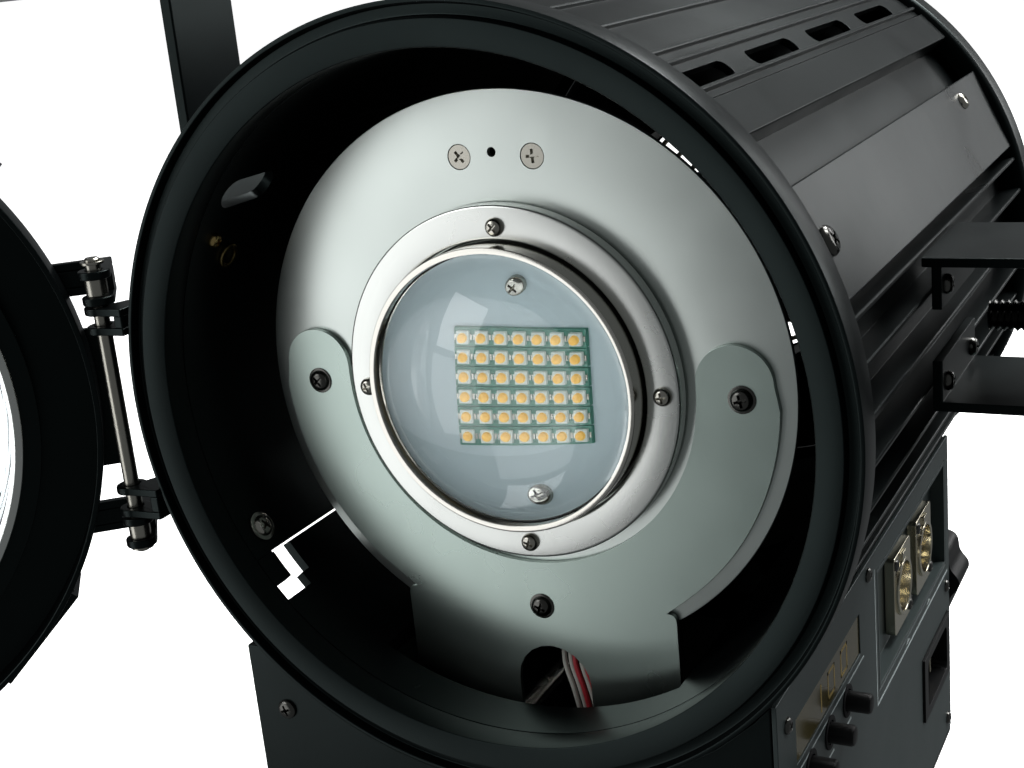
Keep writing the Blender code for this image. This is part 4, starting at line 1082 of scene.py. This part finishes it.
VIEW_AZIMUTH, VIEW_ELEVATION, VIEW_ROLL = 28.5, 16.57, -5.7
VIEW_DISTANCE = 0.42081
VIEW_TARGET = (0.02045, -0.120, 0.22758)
LENS_MM, SENSOR_MM = 52.52, 36
LAMP = (0, 0, 0.2)
BRIGHT_SIDE = (0.3, 1, 1)


def add_area(name, location, target, size, energy):
    light = bpy.data.lights.new(name, "AREA")
    light.shape = "RECTANGLE"
    light.size, light.size_y = size
    light.energy = energy
    item = add(name, light)
    item.location = location
    item.rotation_euler = (Vector(target) - Vector(location)).to_track_quat("-Z", "Y").to_euler()


def build_floor():
    """A wide white floor that only the camera sees, so it doesn't light the lamp from below."""
    mesh = bpy.data.meshes.new("floor")
    mesh.from_pydata([(u, v, 0) for u, v in rectangle(-30, -30, 30, 30)], [], [(0, 1, 2, 3)])
    material = bpy.data.materials.new("floor_white")
    material.use_nodes = True
    set_inputs(material.node_tree.nodes["Principled BSDF"],
               {"Base Color": (0.93, 0.93, 0.93, 1), "Roughness": 0.9, "Specular IOR Level": 0.1,
                "Emission Color": (1, 1, 1, 1), "Emission Strength": 0.9})
    mesh.materials.append(material)
    floor = add("floor", mesh)
    floor.location.z = -0.0002
    floor.visible_glossy = False
    floor.visible_diffuse = False
    floor.visible_shadow = False


def build_light():
    """A room that is bright behind and above the lamp and dim in front of it, and soft boxes."""
    world = bpy.data.worlds.new("studio")
    bpy.context.scene.world = world
    world.use_nodes = True
    nodes, links = world.node_tree.nodes, world.node_tree.links
    background = nodes["Background"]
    set_inputs(background, {"Color": (0.95, 0.99, 1.0, 1)})
    where = nodes.new("ShaderNodeTexCoord")
    toward = nodes.new("ShaderNodeVectorMath")
    toward.operation = "DOT_PRODUCT"
    toward.inputs[1].default_value = BRIGHT_SIDE
    links.new(where.outputs["Generated"], toward.inputs[0])
    level = nodes.new("ShaderNodeMapRange")
    level.interpolation_type = "SMOOTHSTEP"
    set_inputs(level, {"From Min": 1.45, "From Max": 1.9, "To Min": 0.16, "To Max": 2.2})
    links.new(toward.outputs["Value"], level.inputs["Value"])
    links.new(level.outputs["Result"], background.inputs["Strength"])
    add_area("key_left", (-1.1, -1.3, 1.0), LAMP, (0.9, 0.9), 9)
    add_area("low_left", (-1.0, -1.2, -0.1), LAMP, (0.9, 1.1), 5)
    add_area("back_right", (1.1, 1.5, 0.75), (0.1, 0, 0.2), (0.9, 0.8), 11)
    add_area("overhead", (0.5, 0.8, 1.6), LAMP, (1.2, 0.9), 60)


def build_camera():
    azimuth, elevation, roll = (math.radians(a) for a in (VIEW_AZIMUTH, VIEW_ELEVATION, VIEW_ROLL))
    back = Vector((math.sin(azimuth) * math.cos(elevation), -math.cos(azimuth) * math.cos(elevation),
                   math.sin(elevation)))
    right = (-back).cross(Vector((0, 0, 1))).normalized()
    up = right.cross(-back)
    across = right * math.cos(roll) + up * math.sin(roll)
    upward = up * math.cos(roll) - right * math.sin(roll)
    camera = bpy.data.cameras.new("photo_view")
    camera.lens = LENS_MM
    camera.sensor_width = SENSOR_MM
    camera.clip_start = 0.01
    item = add("photo_view", camera)
    matrix = Matrix((across, upward, back)).transposed().to_4x4()
    matrix.translation = Vector(VIEW_TARGET) + back * VIEW_DISTANCE
    item.matrix_world = matrix
    bpy.context.scene.camera = item


def main():
    build_front_ring()
    build_drum()
    build_drum_screws()
    build_drum_inside()
    build_rear()
    build_fan()
    build_box()
    build_panel()
    build_disc()
    build_face_plate()
    build_lens()
    build_carriage_back()
    build_wires()
    build_focus()
    build_brackets()
    build_yoke()
    build_clamp()
    build_hinge()
    build_door()
    build_floor()
    build_light()
    build_camera()
    bpy.context.scene.view_settings.view_transform = "Standard"


main()
